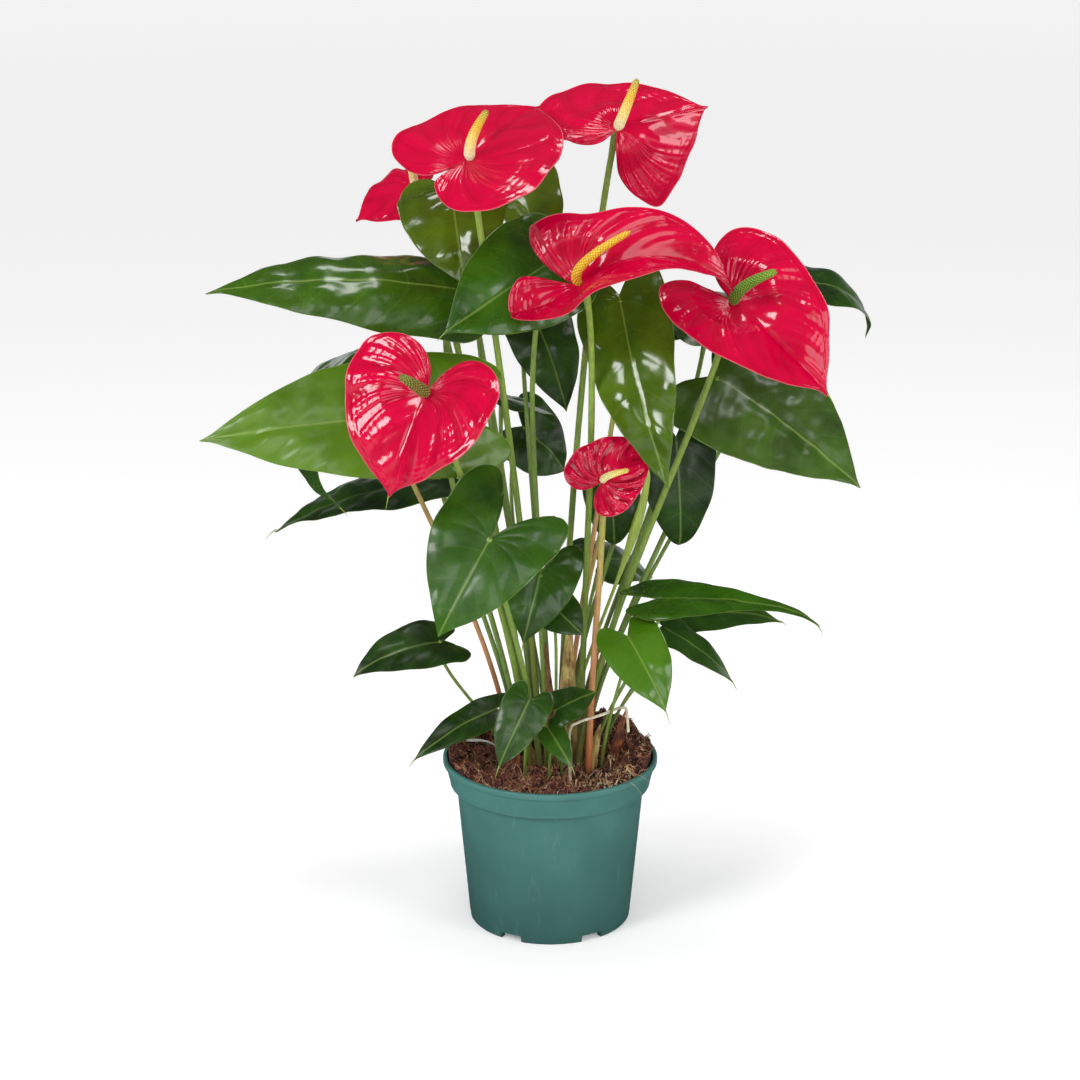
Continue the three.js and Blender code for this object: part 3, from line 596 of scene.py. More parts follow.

# One row for each leaf: its neck, its tip, the way its upper side faces and its width, then how it bends
# in degrees, and where its stalk stands with the stalk's radius. The next number is how far its green goes
# from dark to bright: partly the leaf's own tone and partly painted light and shade, bright where a leaf
# lies lit and dark where it lies in shade. olive is how yellow it is, gloss how much it shines, blush how
# red its stalk is, and drip the length of the fine point at its tip.
LEAVES = [
    dict(name="leaf_left_high", neck=(-75, -26, 520), tip=(-255, -50, 522), facing=(0, -0.6, 0.8),
         width=86, arch=38, twist=12, fold=5, curl=-60, root=(-17, -4), outline=SHALLOW, stalk=2.3,
         light=0.35, olive=0.15, gloss=0.75),
    dict(name="leaf_left_wide", neck=(-78, -54, 431), tip=(-261, -75, 416), facing=(0, -0.85, 0.5),
         width=100, root=(-23, -9), stalk=2.4, light=0.95, olive=0.3, gloss=0.4),
    dict(name="leaf_left_curled", neck=(-152, 70, 447), tip=(-163, 22, 333), facing=(-0.9, -0.3, 0.3),
         width=90, arch=130, root=(-31, 12), stalk=2.1, light=0.3, gloss=0.7, blush=0.75, drip=6),
    dict(name="leaf_left_low", neck=(-88, 92, 337), tip=(-222, 85, 295), facing=(0, -0.1, 1), width=85,
         arch=25, root=(-26, 21), stalk=2.1, light=0.12, gloss=0.3, drip=8),
    dict(name="leaf_top_hanging", neck=(-74, 14, 586), tip=(-63, -26, 520), facing=(-0.1, -0.9, 0.4),
         width=86, arch=60, root=(-12, -1), stalk=2.1, light=0.45, olive=0.6, gloss=1),
    dict(name="leaf_top_folded", neck=(-26, 88, 574), tip=(-3, 50, 523), facing=(0.2, -0.8, 0.5), width=66,
         fold=35, root=(-3, 10), stalk=1.9, light=0.6, olive=0.7, gloss=0.9),
    dict(name="leaf_middle_pointed", neck=(0, -30, 541), tip=(-79, -84, 499), facing=(-0.1, -0.92, 0.32),
         width=88, root=(0, -3), stalk=2.2, light=0.4, gloss=0.7, drip=5),
    dict(name="leaf_back_middle", neck=(-58, 88, 478), tip=(-60, 166, 468), facing=(0, 0.2, 1), width=46,
         arch=45, root=(-9, 16), outline=SHALLOW, stalk=2.2, light=0.25),
    dict(name="leaf_back_dark", neck=(-12, 60, 477), tip=(13, 48, 404), facing=(0.2, -0.8, 0.3), width=56,
         arch=40, root=(-2, 18), stalk=2, light=0.2),
    dict(name="leaf_front_long", neck=(52, -20, 510), tip=(87, -90, 382), facing=(-0.35, -0.92, 0.3),
         width=74, root=(11, -13), outline=SHALLOW, turning=0.15, stalk=2.2, light=0.5, olive=0.4,
         gloss=1, blush=0.75),
    dict(name="leaf_back_right", neck=(91, 50, 476), tip=(121, 163, 466), facing=(0, 0.2, 1), width=95,
         arch=45, root=(11, 12), stalk=2.2, light=0.25),
    dict(name="leaf_right_hooked", neck=(185, 95, 495), tip=(254, 130, 445), facing=(0.45, -0.25, 0.85),
         width=58, arch=95, hook=20, root=(28, 22), stalk=1.9, light=0.2, gloss=0.3, drip=2),
    dict(name="leaf_right_wide", neck=(129, 22, 438), tip=(235, -40, 369), facing=(-0.1, -0.66, 0.75),
         width=108, root=(27, -1), outline=SHALLOW, stalk=2.4, light=0.38, olive=0.2, gloss=0.2),
    dict(name="leaf_right_under", neck=(122, 84, 464), tip=(148, 167, 444), facing=(-0.1, -0.1, 1),
         width=76, arch=40, curl=-40, root=(20, 9), stalk=2.1, light=0.4, olive=0.25, gloss=0.3),
    dict(name="leaf_right_round", neck=(97, 11, 392), tip=(100, 16, 305), facing=(0.1, -0.9, 0.3),
         width=62, arch=40, hook=70, root=(29, 13), stalk=2.1, light=0.12, gloss=0.2),
    dict(name="leaf_middle_round", neck=(47, 6, 361), tip=(50, 10, 307), facing=(0, -1, 0.2), width=46,
         arch=45, hook=50, root=(9, 7), stalk=1.9, light=0.25, blush=0.8),
    dict(name="leaf_front_arrow", neck=(-45, -118, 353), tip=(-83, -142, 285), facing=(-0.1, -0.97, 0.25),
         width=92, arch=25, hook=40, outline=ARROW, swing=-12, root=(-8, -29), turning=0.12, stalk=2.2,
         light=0.4, gloss=0.5),
    dict(name="leaf_front_second", neck=(-8, -45, 301), tip=(-21, -60, 250), facing=(0, -0.93, 0.37),
         width=62, arch=40, outline=ARROW, root=(-3, -15), stalk=1.9, light=0.3, drip=5),
    dict(name="leaf_low_left", neck=(-86, 0, 231), tip=(-153, -30, 212), facing=(0, -0.5, 0.85), width=50,
         arch=40, hook=30, root=(-38, 0), stalk=1.5, light=0.12, gloss=0.4, **SMALL),
    dict(name="leaf_low_right_long", neck=(87, -42, 281), tip=(209, -15, 248), facing=(0, -0.4, 0.92),
         width=60, arch=25, twist=25, hook=30, outline=TAPERED, root=(34, -12), stalk=1.5, light=0.5,
         gloss=0.8, drip=6, **SMALL),
    dict(name="leaf_low_right_slim", neck=(104, 52, 233), tip=(189, 85, 217), facing=(0, -0.45, 0.9),
         width=40, arch=40, root=(42, 16), stalk=1.3, light=0.3, drip=5, **SMALL),
    dict(name="leaf_low_right_small", neck=(95, 2, 238), tip=(145, 12, 192), facing=(0, -0.4, 0.9),
         width=34, root=(42, 4), stalk=1.3, light=0.3, drip=6, **SMALL),
    dict(name="leaf_low_right_bright", neck=(59, -75, 261), tip=(87, -108, 213), facing=(0.1, -0.8, 0.6),
         width=50, arch=35, root=(40, -24), stalk=1.4, light=0.85, olive=0.1, gloss=0.6, drip=7, **SMALL),
    dict(name="leaf_soil_left", neck=(-44, -20, 181), tip=(-107, -40, 146), facing=(-0.2, -0.6, 0.8),
         width=32, arch=40, root=(-38, -15), stalk=1.3, light=0.15, drip=5, **SMALL),
    dict(name="leaf_soil_front", neck=(-17, -66, 205), tip=(-40, -84, 158), facing=(0, -0.8, 0.6),
         width=38, root=(-20, -40), stalk=1.3, light=0.25, drip=6, **SMALL),
    dict(name="leaf_soil_round", neck=(6, -54, 195), tip=(36, -46, 206), facing=(0, -0.6, 0.8), width=32,
         arch=25, root=(9, -38), stalk=1.2, light=0.15, **SMALL),
    dict(name="leaf_soil_tiny", neck=(-1, -57, 179), tip=(17, -80, 156), facing=(0, -0.8, 0.6), width=22,
         root=(-1, -43), stalk=1.1, light=0.35, drip=4, **SMALL),
    dict(name="leaf_back_small", neck=(-38, 102, 400), tip=(4, 140, 369), facing=(0, -0.1, 1), width=60,
         arch=35, root=(-13, 25), stalk=1.7, light=0.1, **SMALL),
    dict(name="leaf_back_pale", neck=(-21, 139, 366), tip=(13, 163, 321), facing=(0, -0.6, 0.6), width=66,
         root=(-3, 31), stalk=1.7, light=0.2, **SMALL),
    dict(name="leaf_back_low", neck=(42, 67, 276), tip=(82, 120, 245), facing=(0, -0.5, 0.85), width=60,
         arch=40, root=(17, 28), stalk=1.6, light=0.2, **SMALL),
    dict(name="leaf_front_tucked", neck=(1, -45, 276), tip=(25, -60, 257), facing=(0, -0.8, 0.6), width=36,
         root=(4, -24), stalk=1.4, light=0.12, **SMALL),
]


def unit(v):
    """A direction of length 1."""
    return v / np.linalg.norm(v)


def rib_frame(blade, share):
    """The cross, forward and upward directions of the bent midrib at shares of its length."""
    share = np.asarray(share, float)
    hooked = np.maximum(0, (share - 0.7) / 0.3) ** 2
    back = np.minimum(share, 0) / LOBE_REACH
    pitch = np.radians(-blade.arch * share - blade.hook * hooked + blade.lift * back)
    roll = np.radians(blade.roll + blade.twist * share)

    def turned(x, y, z):
        x, z = x * np.cos(roll) + z * np.sin(roll), z * np.cos(roll) - x * np.sin(roll)
        y, z = y * np.cos(pitch) - z * np.sin(pitch), y * np.sin(pitch) + z * np.cos(pitch)
        return np.stack([x, y, z], -1)

    return turned(1.0, 0.0, 0.0), turned(0.0, 1.0, 0.0), turned(0.0, 0.0, 1.0)


def rib_point(blade, share):
    """Place on the bent midrib, in lengths from the neck."""
    share = np.asarray(share, float)
    steps = [rib_frame(blade, share * (i + 0.5) / RIB_STEPS)[1] for i in range(RIB_STEPS)]
    return sum(steps) * (share / RIB_STEPS)[..., None]


def basis(along, up):
    """Cross, forward and upward directions as the columns of a turn."""
    y = unit(along)
    x = unit(np.cross(y, up))
    return np.stack([x, y, np.cross(x, y)], 1)


def blade_of(row, **form):
    """A row made into a blade, with its length from neck to tip and the turn that places it."""
    blade = SimpleNamespace(**{**FLAT_BLADE, **form, **row})
    blade.neck = np.array(row["neck"], float)
    chord = np.array(row["tip"], float) - blade.neck
    reach = rib_point(blade, 1.0)
    blade.length = np.linalg.norm(chord) / np.linalg.norm(reach)
    flat = basis(reach, rib_frame(blade, 0.45)[2])
    blade.turn = basis(chord, np.array(row["facing"], float)) @ flat.T
    blade.normal = blade.turn @ rib_frame(blade, 0.0)[2]
    return blade


def bent(blade, x, y):
    """Places on the flat blade taken to their places on the bent one, in the plant's frame."""
    share = y / blade.length
    half = blade.width / 2
    away = smooth(np.hypot(x, y), FLAT_R, 4 * FLAT_R)
    fold = np.radians(blade.fold * away)
    curl = (np.radians(blade.curl * away) + 1e-5) / half
    out = np.abs(x)
    bent_x = (np.sin(fold + curl * out) - np.sin(fold)) / curl
    bent_z = (np.cos(fold) - np.cos(fold + curl * out)) / curl
    ripple = np.sin(2 * np.pi * blade.waves * share + np.where(x < 0, blade.phase, 0))
    wave = blade.wave * (out / half) ** 2 * ripple
    across, _, up = rib_frame(blade, share)
    place = rib_point(blade, share) * blade.length
    place = place + across * (np.sign(x) * bent_x)[..., None] + up * (bent_z + wave)[..., None]
    return place @ blade.turn.T + blade.neck


def spline(corners):
    """A smooth curve through the corners: a centripetal Catmull-Rom spline, finely divided."""
    p = np.array([2 * corners[0] - corners[1], *corners, 2 * corners[-1] - corners[-2]])
    curve = []
    t = np.linspace(0, 1, 24, endpoint=False)[:, None]
    for a, b, c, d in zip(p, p[1:], p[2:], p[3:]):
        steps = ((a, b), (b, c), (c, d))
        before, span, after = (max(np.linalg.norm(v - u), 1e-6) ** 0.5 for u, v in steps)
        leave = ((b - a) / before - (c - a) / (before + span) + (c - b) / span) * span
        reach = ((c - b) / span - (d - b) / (span + after) + (d - c) / after) * span
        square = 3 * (c - b) - 2 * leave - reach
        cube = 2 * (b - c) + leave + reach
        curve.append(b + leave * t + square * t**2 + cube * t**3)
    return np.concatenate([*curve, corners[-1:]])


def evenly(curve, count):
    """count points at even spacing along a curve, and its length."""
    gone = np.concatenate([[0], np.cumsum(np.linalg.norm(np.diff(curve, axis=0), axis=1))])
    at = np.linspace(0, gone[-1], count)
    return np.stack([np.interp(at, gone, curve[:, k]) for k in range(curve.shape[1])], 1), gone[-1]


def flat_half(blade, pitch):
    """One half of the flat blade as a grid that follows its side veins: from the midrib, or in the lobes
    from the neck, out to the margin. Gives x, y, the vein number and the share of the way out."""
    corners = np.array(blade.outline) * [blade.width / 2, blade.length]
    curve = spline(corners)
    _, whole = evenly(curve, 2)
    count = int(whole / pitch) + 2
    rim, _ = evenly(curve, count)
    t = np.linspace(0, 1, count)[:, None]
    start = np.maximum(0, rim[:, 1:2] - blade.slant * rim[:, 0:1])
    reach = int(blade.spread * blade.width / pitch) + 2
    u = np.linspace(0, 1, reach)[None]
    way_x, way_y = rim[:, 0:1], rim[:, 1:2] - start
    sag = blade.bow * 4 * u * (1 - u) * (1 - smooth(t, 0.72, 0.95)) * smooth(t, 0.0, 0.1)
    x = way_x * u + way_y * sag
    y = start + way_y * u - way_x * sag
    return x, y, blade.veins * t + 0 * u, u + 0 * t


def swung(blade, x, y):
    """The flat blade turned about the neck, not at all at the tip and by the whole swing at the notch."""
    length = np.maximum(np.hypot(x, y), 1e-9)
    turn = np.radians(blade.swing) * (1 - y / length) / 2
    return x * np.cos(turn) - y * np.sin(turn), x * np.sin(turn) + y * np.cos(turn)


def normals_of(points, faces):
    """Smooth normals from welded faces."""
    total = np.zeros_like(points)
    for group in faces:
        if len(group):
            a, b, c = points[group[:, 0]], points[group[:, 1]], points[group[:, 2]]
            d = points[group[:, -1]]
            cross = np.cross(c - a, d - b) if group.shape[1] == 4 else np.cross(b - a, c - a)
            for k in range(group.shape[1]):
                np.add.at(total, group[:, k], cross)
    return total / np.maximum(np.linalg.norm(total, axis=1), 1e-12)[:, None]


def blade_shell(blade, pitch, upper, under, thick):
    """A thin closed blade. upper and under give each face's relief in mm from the fields: x across from
    the midrib, y along, the vein number and the share of the way out. The relief is let into the blade
    and the margin's unevenness goes inwards, so the blade keeps to the size of its solid."""
    x, y, vein, out = flat_half(blade, pitch)
    rows, columns = x.shape
    right = grid_faces(rows, columns)
    left = right[:, ::-1] + rows * columns
    both = [np.concatenate([a.ravel(), b.ravel()]) for a, b in ((x, -x), (y, y), (vein, vein), (out, out))]
    lag = np.concatenate([0 * x.ravel(), 0.3 * smooth(out.ravel(), 0.05, 0.9)])
    uneven = ripples(int(blade.width * 5), 42)(both[0], both[1])
    near_margin = smooth(both[3], 0.4, 1) * (1 - smooth(both[1] / blade.length, 0.7, 0.95))
    stretch = 1 + blade.edge * (0.7 * uneven - 0.9) * near_margin
    sx, sy = swung(blade, both[0] * stretch, both[1] * stretch)
    flat = np.stack([sx, sy], 1)
    fields = [both[0], both[1], both[2] + lag, both[3]]
    flat, faces, (across, along, vein, out), number = weld(flat, np.concatenate([right, left]), *fields)
    middle = bent(blade, flat[:, 0], flat[:, 1])
    normal = normals_of(middle, faces)
    if (normal @ blade.normal).sum() < 0:
        normal = -normal
        faces = [group[:, ::-1] for group in faces]
    edge = 1 - 0.6 * smooth(out, 0.97, 1)
    high = upper(blade, across, along, vein, out)
    inner = smooth(out, 0.1, 0.3) * (1 - smooth(out, 0.85, 0.97))
    # The level that colours a spathe follows the relief, so painted shade lies in its creases and sunken
    # veins; the crease number deepens that painted shade along the veins.
    level = high + blade.stripes * (between_veins(vein) - 0.6) * inner
    sink = high.mean() * smooth(np.hypot(across, along), 4, 30)
    low = under(blade, across, along, vein, out) - sink
    top = middle + normal * (high - sink + edge * thick / 2)[:, None]
    bottom = middle + normal * (low - edge * thick / 2)[:, None]
    n = len(middle)
    rim = np.arange(rows) * columns + columns - 1
    loop = number[np.concatenate([rim, (rim + rows * columns)[::-1][1:-1]])]
    after = np.roll(loop, -1)
    wall = np.stack([loop, loop + n, after + n, after], 1)
    lower = [group[:, ::-1] + n for group in faces]
    quads = np.concatenate([faces[0], lower[0], wall])
    triangles = np.concatenate([faces[1], lower[1]])
    paint = np.concatenate([
        np.zeros(len(faces[0])), np.ones(len(lower[0])), np.zeros(len(wall)),
        np.zeros(len(faces[1])), np.ones(len(lower[1])),
    ]).astype(int)
    skin = np.stack([np.abs(across), vein, out], 1)
    shape = SimpleNamespace(
        points=np.concatenate([top, bottom]), quads=quads, triangles=triangles, paint=paint)
    shape.skin = np.concatenate([skin, skin])
    shape.level = np.concatenate([level, level])
    shape.along = np.concatenate([along, along]) / blade.length
    return shape


def between_veins(vein):
    """0 on a side vein and 1 half way to the next."""
    return np.abs(np.sin(np.pi * vein))


def leaf_upper(blade, x, y, vein, out):
    """Gentle quilting between sunken side veins, and a midrib in a shallow trough."""
    broad = ripples(int(blade.width * 7 + blade.length), 26)
    size = min(1.0, blade.width / 80)
    inner = smooth(out, 0.03, 0.3) * (1 - smooth(out, 0.7, 0.97))
    quilt = 0.55 * size * between_veins(vein) ** 0.8 * inner
    rib = 0.35 * np.exp(-(x / 1.1) ** 2) - 0.9 * size * np.exp(-(x / 6) ** 2)
    rib = rib * smooth(y, -6, 14)
    swell = 0.5 * size * broad(x, y) + 0.05 * size * broad(x * 3, y * 3)
    return quilt * (0.8 + 0.4 * broad(x, y)) + rib + swell


def leaf_under(blade, x, y, vein, out):
    """The underside follows the upper one, with the ribs standing proud of it."""
    rib = 1.0 * np.exp(-(x / 1.3) ** 2) * (1 - 0.6 * np.clip(y / blade.length, 0, 1)) * smooth(y, -4, 6)
    inner = (1 - smooth(out, 0.7, 0.95)) * smooth(out, 0.02, 0.1)
    side = 0.3 * np.exp(-(between_veins(vein) / 0.1) ** 2) * inner
    return leaf_upper(blade, x, y, vein, out) - rib - side


def foot_height(x, y):
    """Where a stem's foot stands in its hole in the mix."""
    return float(soil_height(x, y)) - ROOT_DEPTH + 0.5


def stalk_path(root, end, arrive, turning, steps=46):
    """A stalk's way: straight up out of the mix at the root, then a curve that meets the blade."""
    bottom = np.array([*root, foot_height(*root)])
    leave = np.array([*root, float(soil_height(*root)) + ROOT_CLEAR])
    reach = end - leave
    span = np.linalg.norm(reach)
    straight = reach / span
    first = unit(0.6 * UP + 0.4 * straight)
    last = unit(0.55 * arrive + 0.6 * straight)
    knee = end - arrive * KNEE_LENGTH
    a, b, c, d = leave, leave + first * HEAD_START * span, knee - last * turning * span, knee
    t = np.linspace(0, 1, 200)[:, None]
    curve = a * (1 - t) ** 3 + 3 * b * t * (1 - t) ** 2 + 3 * c * t**2 * (1 - t) + d * t**3
    spaced, _ = evenly(np.concatenate([bottom[None], curve, end[None]]), steps)
    return spaced


def stalk_shape(path, radius):
    """Radii up a stalk: wider at its sheathed foot, slender, and swollen at the knee under the blade."""
    _, length = evenly(path, 2)
    up = np.linspace(0, 1, len(path)) * length
    foot = 0.35 * (1 - smooth(up, 20, 70))
    knee = 0.22 * smooth(up, length - 24, length - 14) * (1 - 0.6 * smooth(up, length - 5, length))
    return radius * (0.9 + foot * min(1, radius / 2.2) * 0.6 + knee)


def petiole(blade):
    """The leaf's stalk, a little flattened and grooved."""
    path = stalk_path(blade.root, blade.neck, blade.normal, blade.turning)
    groove = ripples(int(blade.stalk * 100), 40)
    lean = blade.neck[0]

    def turn(share, angle):
        return 1 + 0.035 * np.cos(2 * angle + lean) + 0.02 * groove(angle * 9, share * 200)

    return tube(path, stalk_shape(path, blade.stalk), 14, turn)[:4]


# Patterns per metre: soft clouds 38 mm wide, vein cells of 3 mm and skin grain of 2.4 mm, all drawn
# coarser than in life so that they show. On a stalk, patches of 33 mm and fibres 1.4 mm apart.
CLOUD_SCALE = 26
VEIN_NET_SCALE = 330
SKIN_SCALE = 420
PATCH_SCALE = 30
FIBRE_SCALE = 700
MARGIN_VEIN = 0.93


def vein_masks(made, place, skin, rib_edge, vein_edge):
    """Where the midrib, the side veins with the marginal vein, the margin and the fine net of veins lie on
    a blade. Each edge says where a vein begins to fade and where it is gone."""
    parts = add_node(made, "SeparateXYZ", [skin]).outputs
    rib = add_node(made, "MapRange", [parts["X"], *rib_edge, 1, 0])
    near = add_node(made, "Math", [parts["Y"], 0.5], operation="PINGPONG")
    side = add_node(made, "MapRange", [near, *vein_edge, 1, 0])
    inner = add_node(made, "MapRange", [parts["Z"], 0.9, 0.94, 1, 0])
    side = add_node(made, "Math", [side, inner], operation="MULTIPLY")
    off = add_node(made, "Math", [parts["Z"], MARGIN_VEIN], operation="SUBTRACT")
    off = add_node(made, "Math", [off], operation="ABSOLUTE")
    ring = add_node(made, "MapRange", [off, 0.004, 0.014, 0.7, 0])
    side = add_node(made, "Math", [side, ring], operation="MAXIMUM")
    margin = add_node(made, "MapRange", [parts["Z"], 0.984, 0.998])
    net = add_node(made, "TexVoronoi", {"Vector": place, "Scale": VEIN_NET_SCALE}, feature="DISTANCE_TO_EDGE")
    fine = add_node(made, "MapRange", [net, 0.02, 0.12, 1, 0])
    return rib, side, margin, fine


def tint(made, colour, mask, amount, tone):
    """Lays a tone over a colour where the mask is, by the amount."""
    soft = add_node(made, "Math", [mask, amount], operation="MULTIPLY")
    return add_node(made, "Mix", {"Factor": soft, "A": colour, "B": linear(tone)}, data_type="RGBA")


def leaf_skin(name, dark, bright, vein, rib_tone, rough, coat):
    """Living leaf under a waxy cuticle: the green varies in soft clouds and goes pale along the veins, and
    each leaf's green is set brighter or darker, partly its own tone and partly painted lighting and shade.
    """
    made, shader, place = new_material(name, IOR=1.45, Coat_Roughness=0.1, Coat_IOR=1.45)
    skin = add_node(made, "Attribute", attribute_name="skin").outputs["Vector"]
    light, olive, gloss = (
        add_node(made, "Attribute", attribute_name=key).outputs["Fac"] for key in ("light", "olive", "gloss"))
    rib, side, margin, fine = vein_masks(made, place, skin, (0.35, 1.0), (0.01, 0.045))
    clouds = add_node(made, "TexNoise", {
        "Vector": place, "Scale": CLOUD_SCALE, "Detail": 4, "Roughness": 0.6})
    shift = add_node(made, "MapRange", [clouds, 0.3, 0.7, -0.22, 0.22])
    # Each leaf's own number moves its green from dark to bright: partly its tone, partly painted light and
    # shade.
    amount = add_node(made, "Math", [light, shift], operation="ADD", use_clamp=True)
    green = add_node(made, "ValToRGB", [amount], stops=[(0, dark), (1, bright)])
    ripe = add_node(made, "ValToRGB", [amount], stops=[(0, "#1E2208"), (1, "#728216")])
    colour = add_node(made, "Mix", {"Factor": olive, "A": green, "B": ripe}, data_type="RGBA")
    for mask, share in ((fine, 0.06), (side, 0.11)):
        colour = tint(made, colour, mask, share, vein)
    for mask, share in ((rib, 0.38), (margin, 0.6)):
        colour = tint(made, colour, mask, share, rib_tone)
    wax = add_node(made, "MapRange", [gloss, 0, 1, rough + 0.16, rough - 0.14])
    dull = add_node(made, "MapRange", [clouds, 0, 1, -0.06, 0.1])
    dull = add_node(made, "Math", [wax, dull], operation="ADD")
    coating = add_node(made, "Math", [gloss, coat], operation="MULTIPLY")
    grain = add_node(made, "TexNoise", {"Vector": place, "Scale": SKIN_SCALE, "Detail": 2})
    height = add_node(made, "Math", [fine, -0.1, grain], operation="MULTIPLY_ADD")
    relief = add_node(made, "Bump", {"Strength": 0.12, "Distance": 0.0003, "Height": height})
    feed(made, shader, Base_Color=colour, Roughness=dull, Coat_Weight=coating, Normal=relief)
    return made


def stalk_skin(name, low, middle, high, rough):
    """A fleshy stalk: its colour runs from the foot to the blade, with fine lengthwise fibres and flecks,
    and a blushed one is red-brown instead."""
    made, shader, place = new_material(name, IOR=1.45, Coat_Weight=0.2, Coat_Roughness=0.25)
    share, blush = (
        add_node(made, "Attribute", attribute_name=key).outputs["Fac"] for key in ("share", "blush"))
    stretch = add_node(made, "Mapping", {"Vector": place, "Scale": (1, 1, 0.1)})
    fibre = add_node(made, "TexNoise", {
        "Vector": stretch, "Scale": FIBRE_SCALE, "Detail": 3, "Roughness": 0.6})
    patch = add_node(made, "TexNoise", {"Vector": place, "Scale": PATCH_SCALE, "Detail": 3})
    drift = add_node(made, "MapRange", [patch, 0, 1, -0.16, 0.16])
    at = add_node(made, "Math", [share, drift], operation="ADD", use_clamp=True)
    green = add_node(made, "ValToRGB", [at], stops=[(0.0, low), (0.3, middle), (1.0, high)])
    warm = add_node(made, "ValToRGB", [at], stops=[
        (0.02, "#7A3E28"), (0.1, "#C8744A"), (0.5, "#DC9A6C"), (0.9, "#A8B058")])
    colour = add_node(made, "Mix", {"Factor": blush, "A": green, "B": warm}, data_type="RGBA")
    streak = add_node(made, "MapRange", [fibre, 0.3, 0.7, 0.72, 1.12])
    mixed = {"Factor": 1.0, "A": colour, "B": streak}
    colour = add_node(made, "Mix", mixed, data_type="RGBA", blend_type="MULTIPLY")
    dull = add_node(made, "MapRange", [patch, 0, 1, rough - 0.06, rough + 0.12])
    relief = add_node(made, "Bump", {"Strength": 0.2, "Distance": 0.0003, "Height": fibre})
    feed(made, shader, Base_Color=colour, Roughness=dull, Normal=relief)
    return made


leaf_materials = [
    leaf_skin("leaf_waxy_upper", "#0D2405", "#3F7406", "#66863A", "#8AA24A", 0.3, 0.4),
    leaf_skin("leaf_underside", "#223A10", "#56822A", "#769452", "#92A862", 0.42, 0.1),
    stalk_skin("petiole_green", "#4A3A20", "#6E8A3C", "#86A048", 0.38),
]


def drip_tip(blade):
    """The fine point that a blade's midrib runs out into, hanging from its tip."""
    before, tip = bent(blade, np.zeros(2), np.array([0.97, 1]) * blade.length)
    way = unit(tip - before)
    t = np.linspace(0, 1, 12)[:, None]
    path = tip + way * (t * (blade.drip + 2) - 2) - UP * 0.45 * blade.drip * t**2
    points, quads, ends, share, _ = tube(path, 0.6 - 0.45 * t[:, 0], 8)
    return points, quads, ends, np.ones_like(share)


NO_VEINS = [50.0, 0.5, 0.5]


def join_shapes(blade, shape, tubes):
    """A blade and the round parts that grow from it as one set of points, faces, paint and fields."""
    whole = SimpleNamespace(points=[shape.points], quads=[shape.quads], triangles=[shape.triangles])
    split = len(shape.quads)
    on_quads, on_triangles = [shape.paint[:split]], [shape.paint[split:]]
    skin, level, share = [shape.skin], [shape.level], [np.ones(len(shape.points))]
    n = len(shape.points)
    for points, quads, ends, along in tubes:
        whole.points.append(points)
        whole.quads.append(quads + n)
        whole.triangles.append(ends + n)
        on_quads.append(np.full(len(quads), 2))
        on_triangles.append(np.full(len(ends), 2))
        skin.append(np.tile(NO_VEINS, (len(points), 1)))
        level.append(np.zeros(len(points)))
        share.append(along)
        n += len(points)
    whole.points = np.concatenate(whole.points)
    whole.faces = [np.concatenate(whole.quads), np.concatenate(whole.triangles)]
    whole.paint = np.concatenate(on_quads + on_triangles)
    whole.fields = {
        "skin": np.concatenate(skin), "level": np.concatenate(level), "share": np.concatenate(share)}
    for name in ("light", "olive", "gloss", "blush"):
        whole.fields[name] = np.full(n, float(getattr(blade, name)))
    return whole


def add_leaf(row):
    """A leaf as one piece: its blade, its stalk and the fine point at its tip."""
    blade = blade_of(row)
    shape = blade_shell(blade, LEAF_PITCH, leaf_upper, leaf_under, BLADE_THICK)
    tubes = [petiole(blade)] + [drip_tip(blade)] * bool(blade.drip)
    whole = join_shapes(blade, shape, tubes)
    made = make_piece(row["name"] + "_living", whole.points, whole.faces, leaf_materials, whole.paint,
                      whole.fields)
    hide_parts(row["name"])


for row in LEAVES:
    add_leaf(row)


# ---------- Rolled young leaf ----------
# A new leaf comes up as a tight scroll on a thin stalk, still soft, matt and light green. It is a tube
# whose section is a snail, so that its free edge winds round it.

YOUNG_LEAF = dict(name="leaf_young_rolled", neck=(75, -8, 374), root=(13, 3), stalk=1.4, swell=2.6)


def scroll(angle, share, turns, step):
    """The cross-section of a rolled blade: a snail whose free edge winds round it as a low step."""
    return 1 + step * (((angle + 2 * np.pi * turns * share) / (2 * np.pi)) % 1 - 0.5)


path = stalk_path(YOUNG_LEAF["root"], np.array(YOUNG_LEAF["neck"], float), UP, TURNING, 90)
share = np.linspace(0, 1, len(path))
rolled = smooth(share, 0.6, 1.06)
radii = INSIDE * (YOUNG_LEAF["stalk"] + YOUNG_LEAF["swell"] * np.sin(np.pi * rolled))
radii[-3:] *= [0.9, 0.7, 0.4]
points, quads, ends, share, _ = tube(
    path, radii, 28, lambda s, angle: 1 + (scroll(angle, s, 1.2, 0.2) - 1) * smooth(s, 0.62, 0.72))
young_skin = stalk_skin("young_leaf_scroll", "#5A6A30", "#8FAA48", "#B4CC5C", 0.36)
fields = {"share": share, "blush": 0 * share}
young = make_piece("leaf_young_scroll", points, [quads, ends], [young_skin], fields=fields)
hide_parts(YOUNG_LEAF["name"])


# ---------- Blooms ----------
# Each bloom is a spathe, a spadix and a stem. The spathe is a thick waxy bract, crimson and as glossy as
# lacquer, puckered between the veins that fan out from its neck, with a thin pale margin. The spadix is
# a fleshy spike packed with tiny flowers that ripen from its foot to its tip. The stem is round and green.

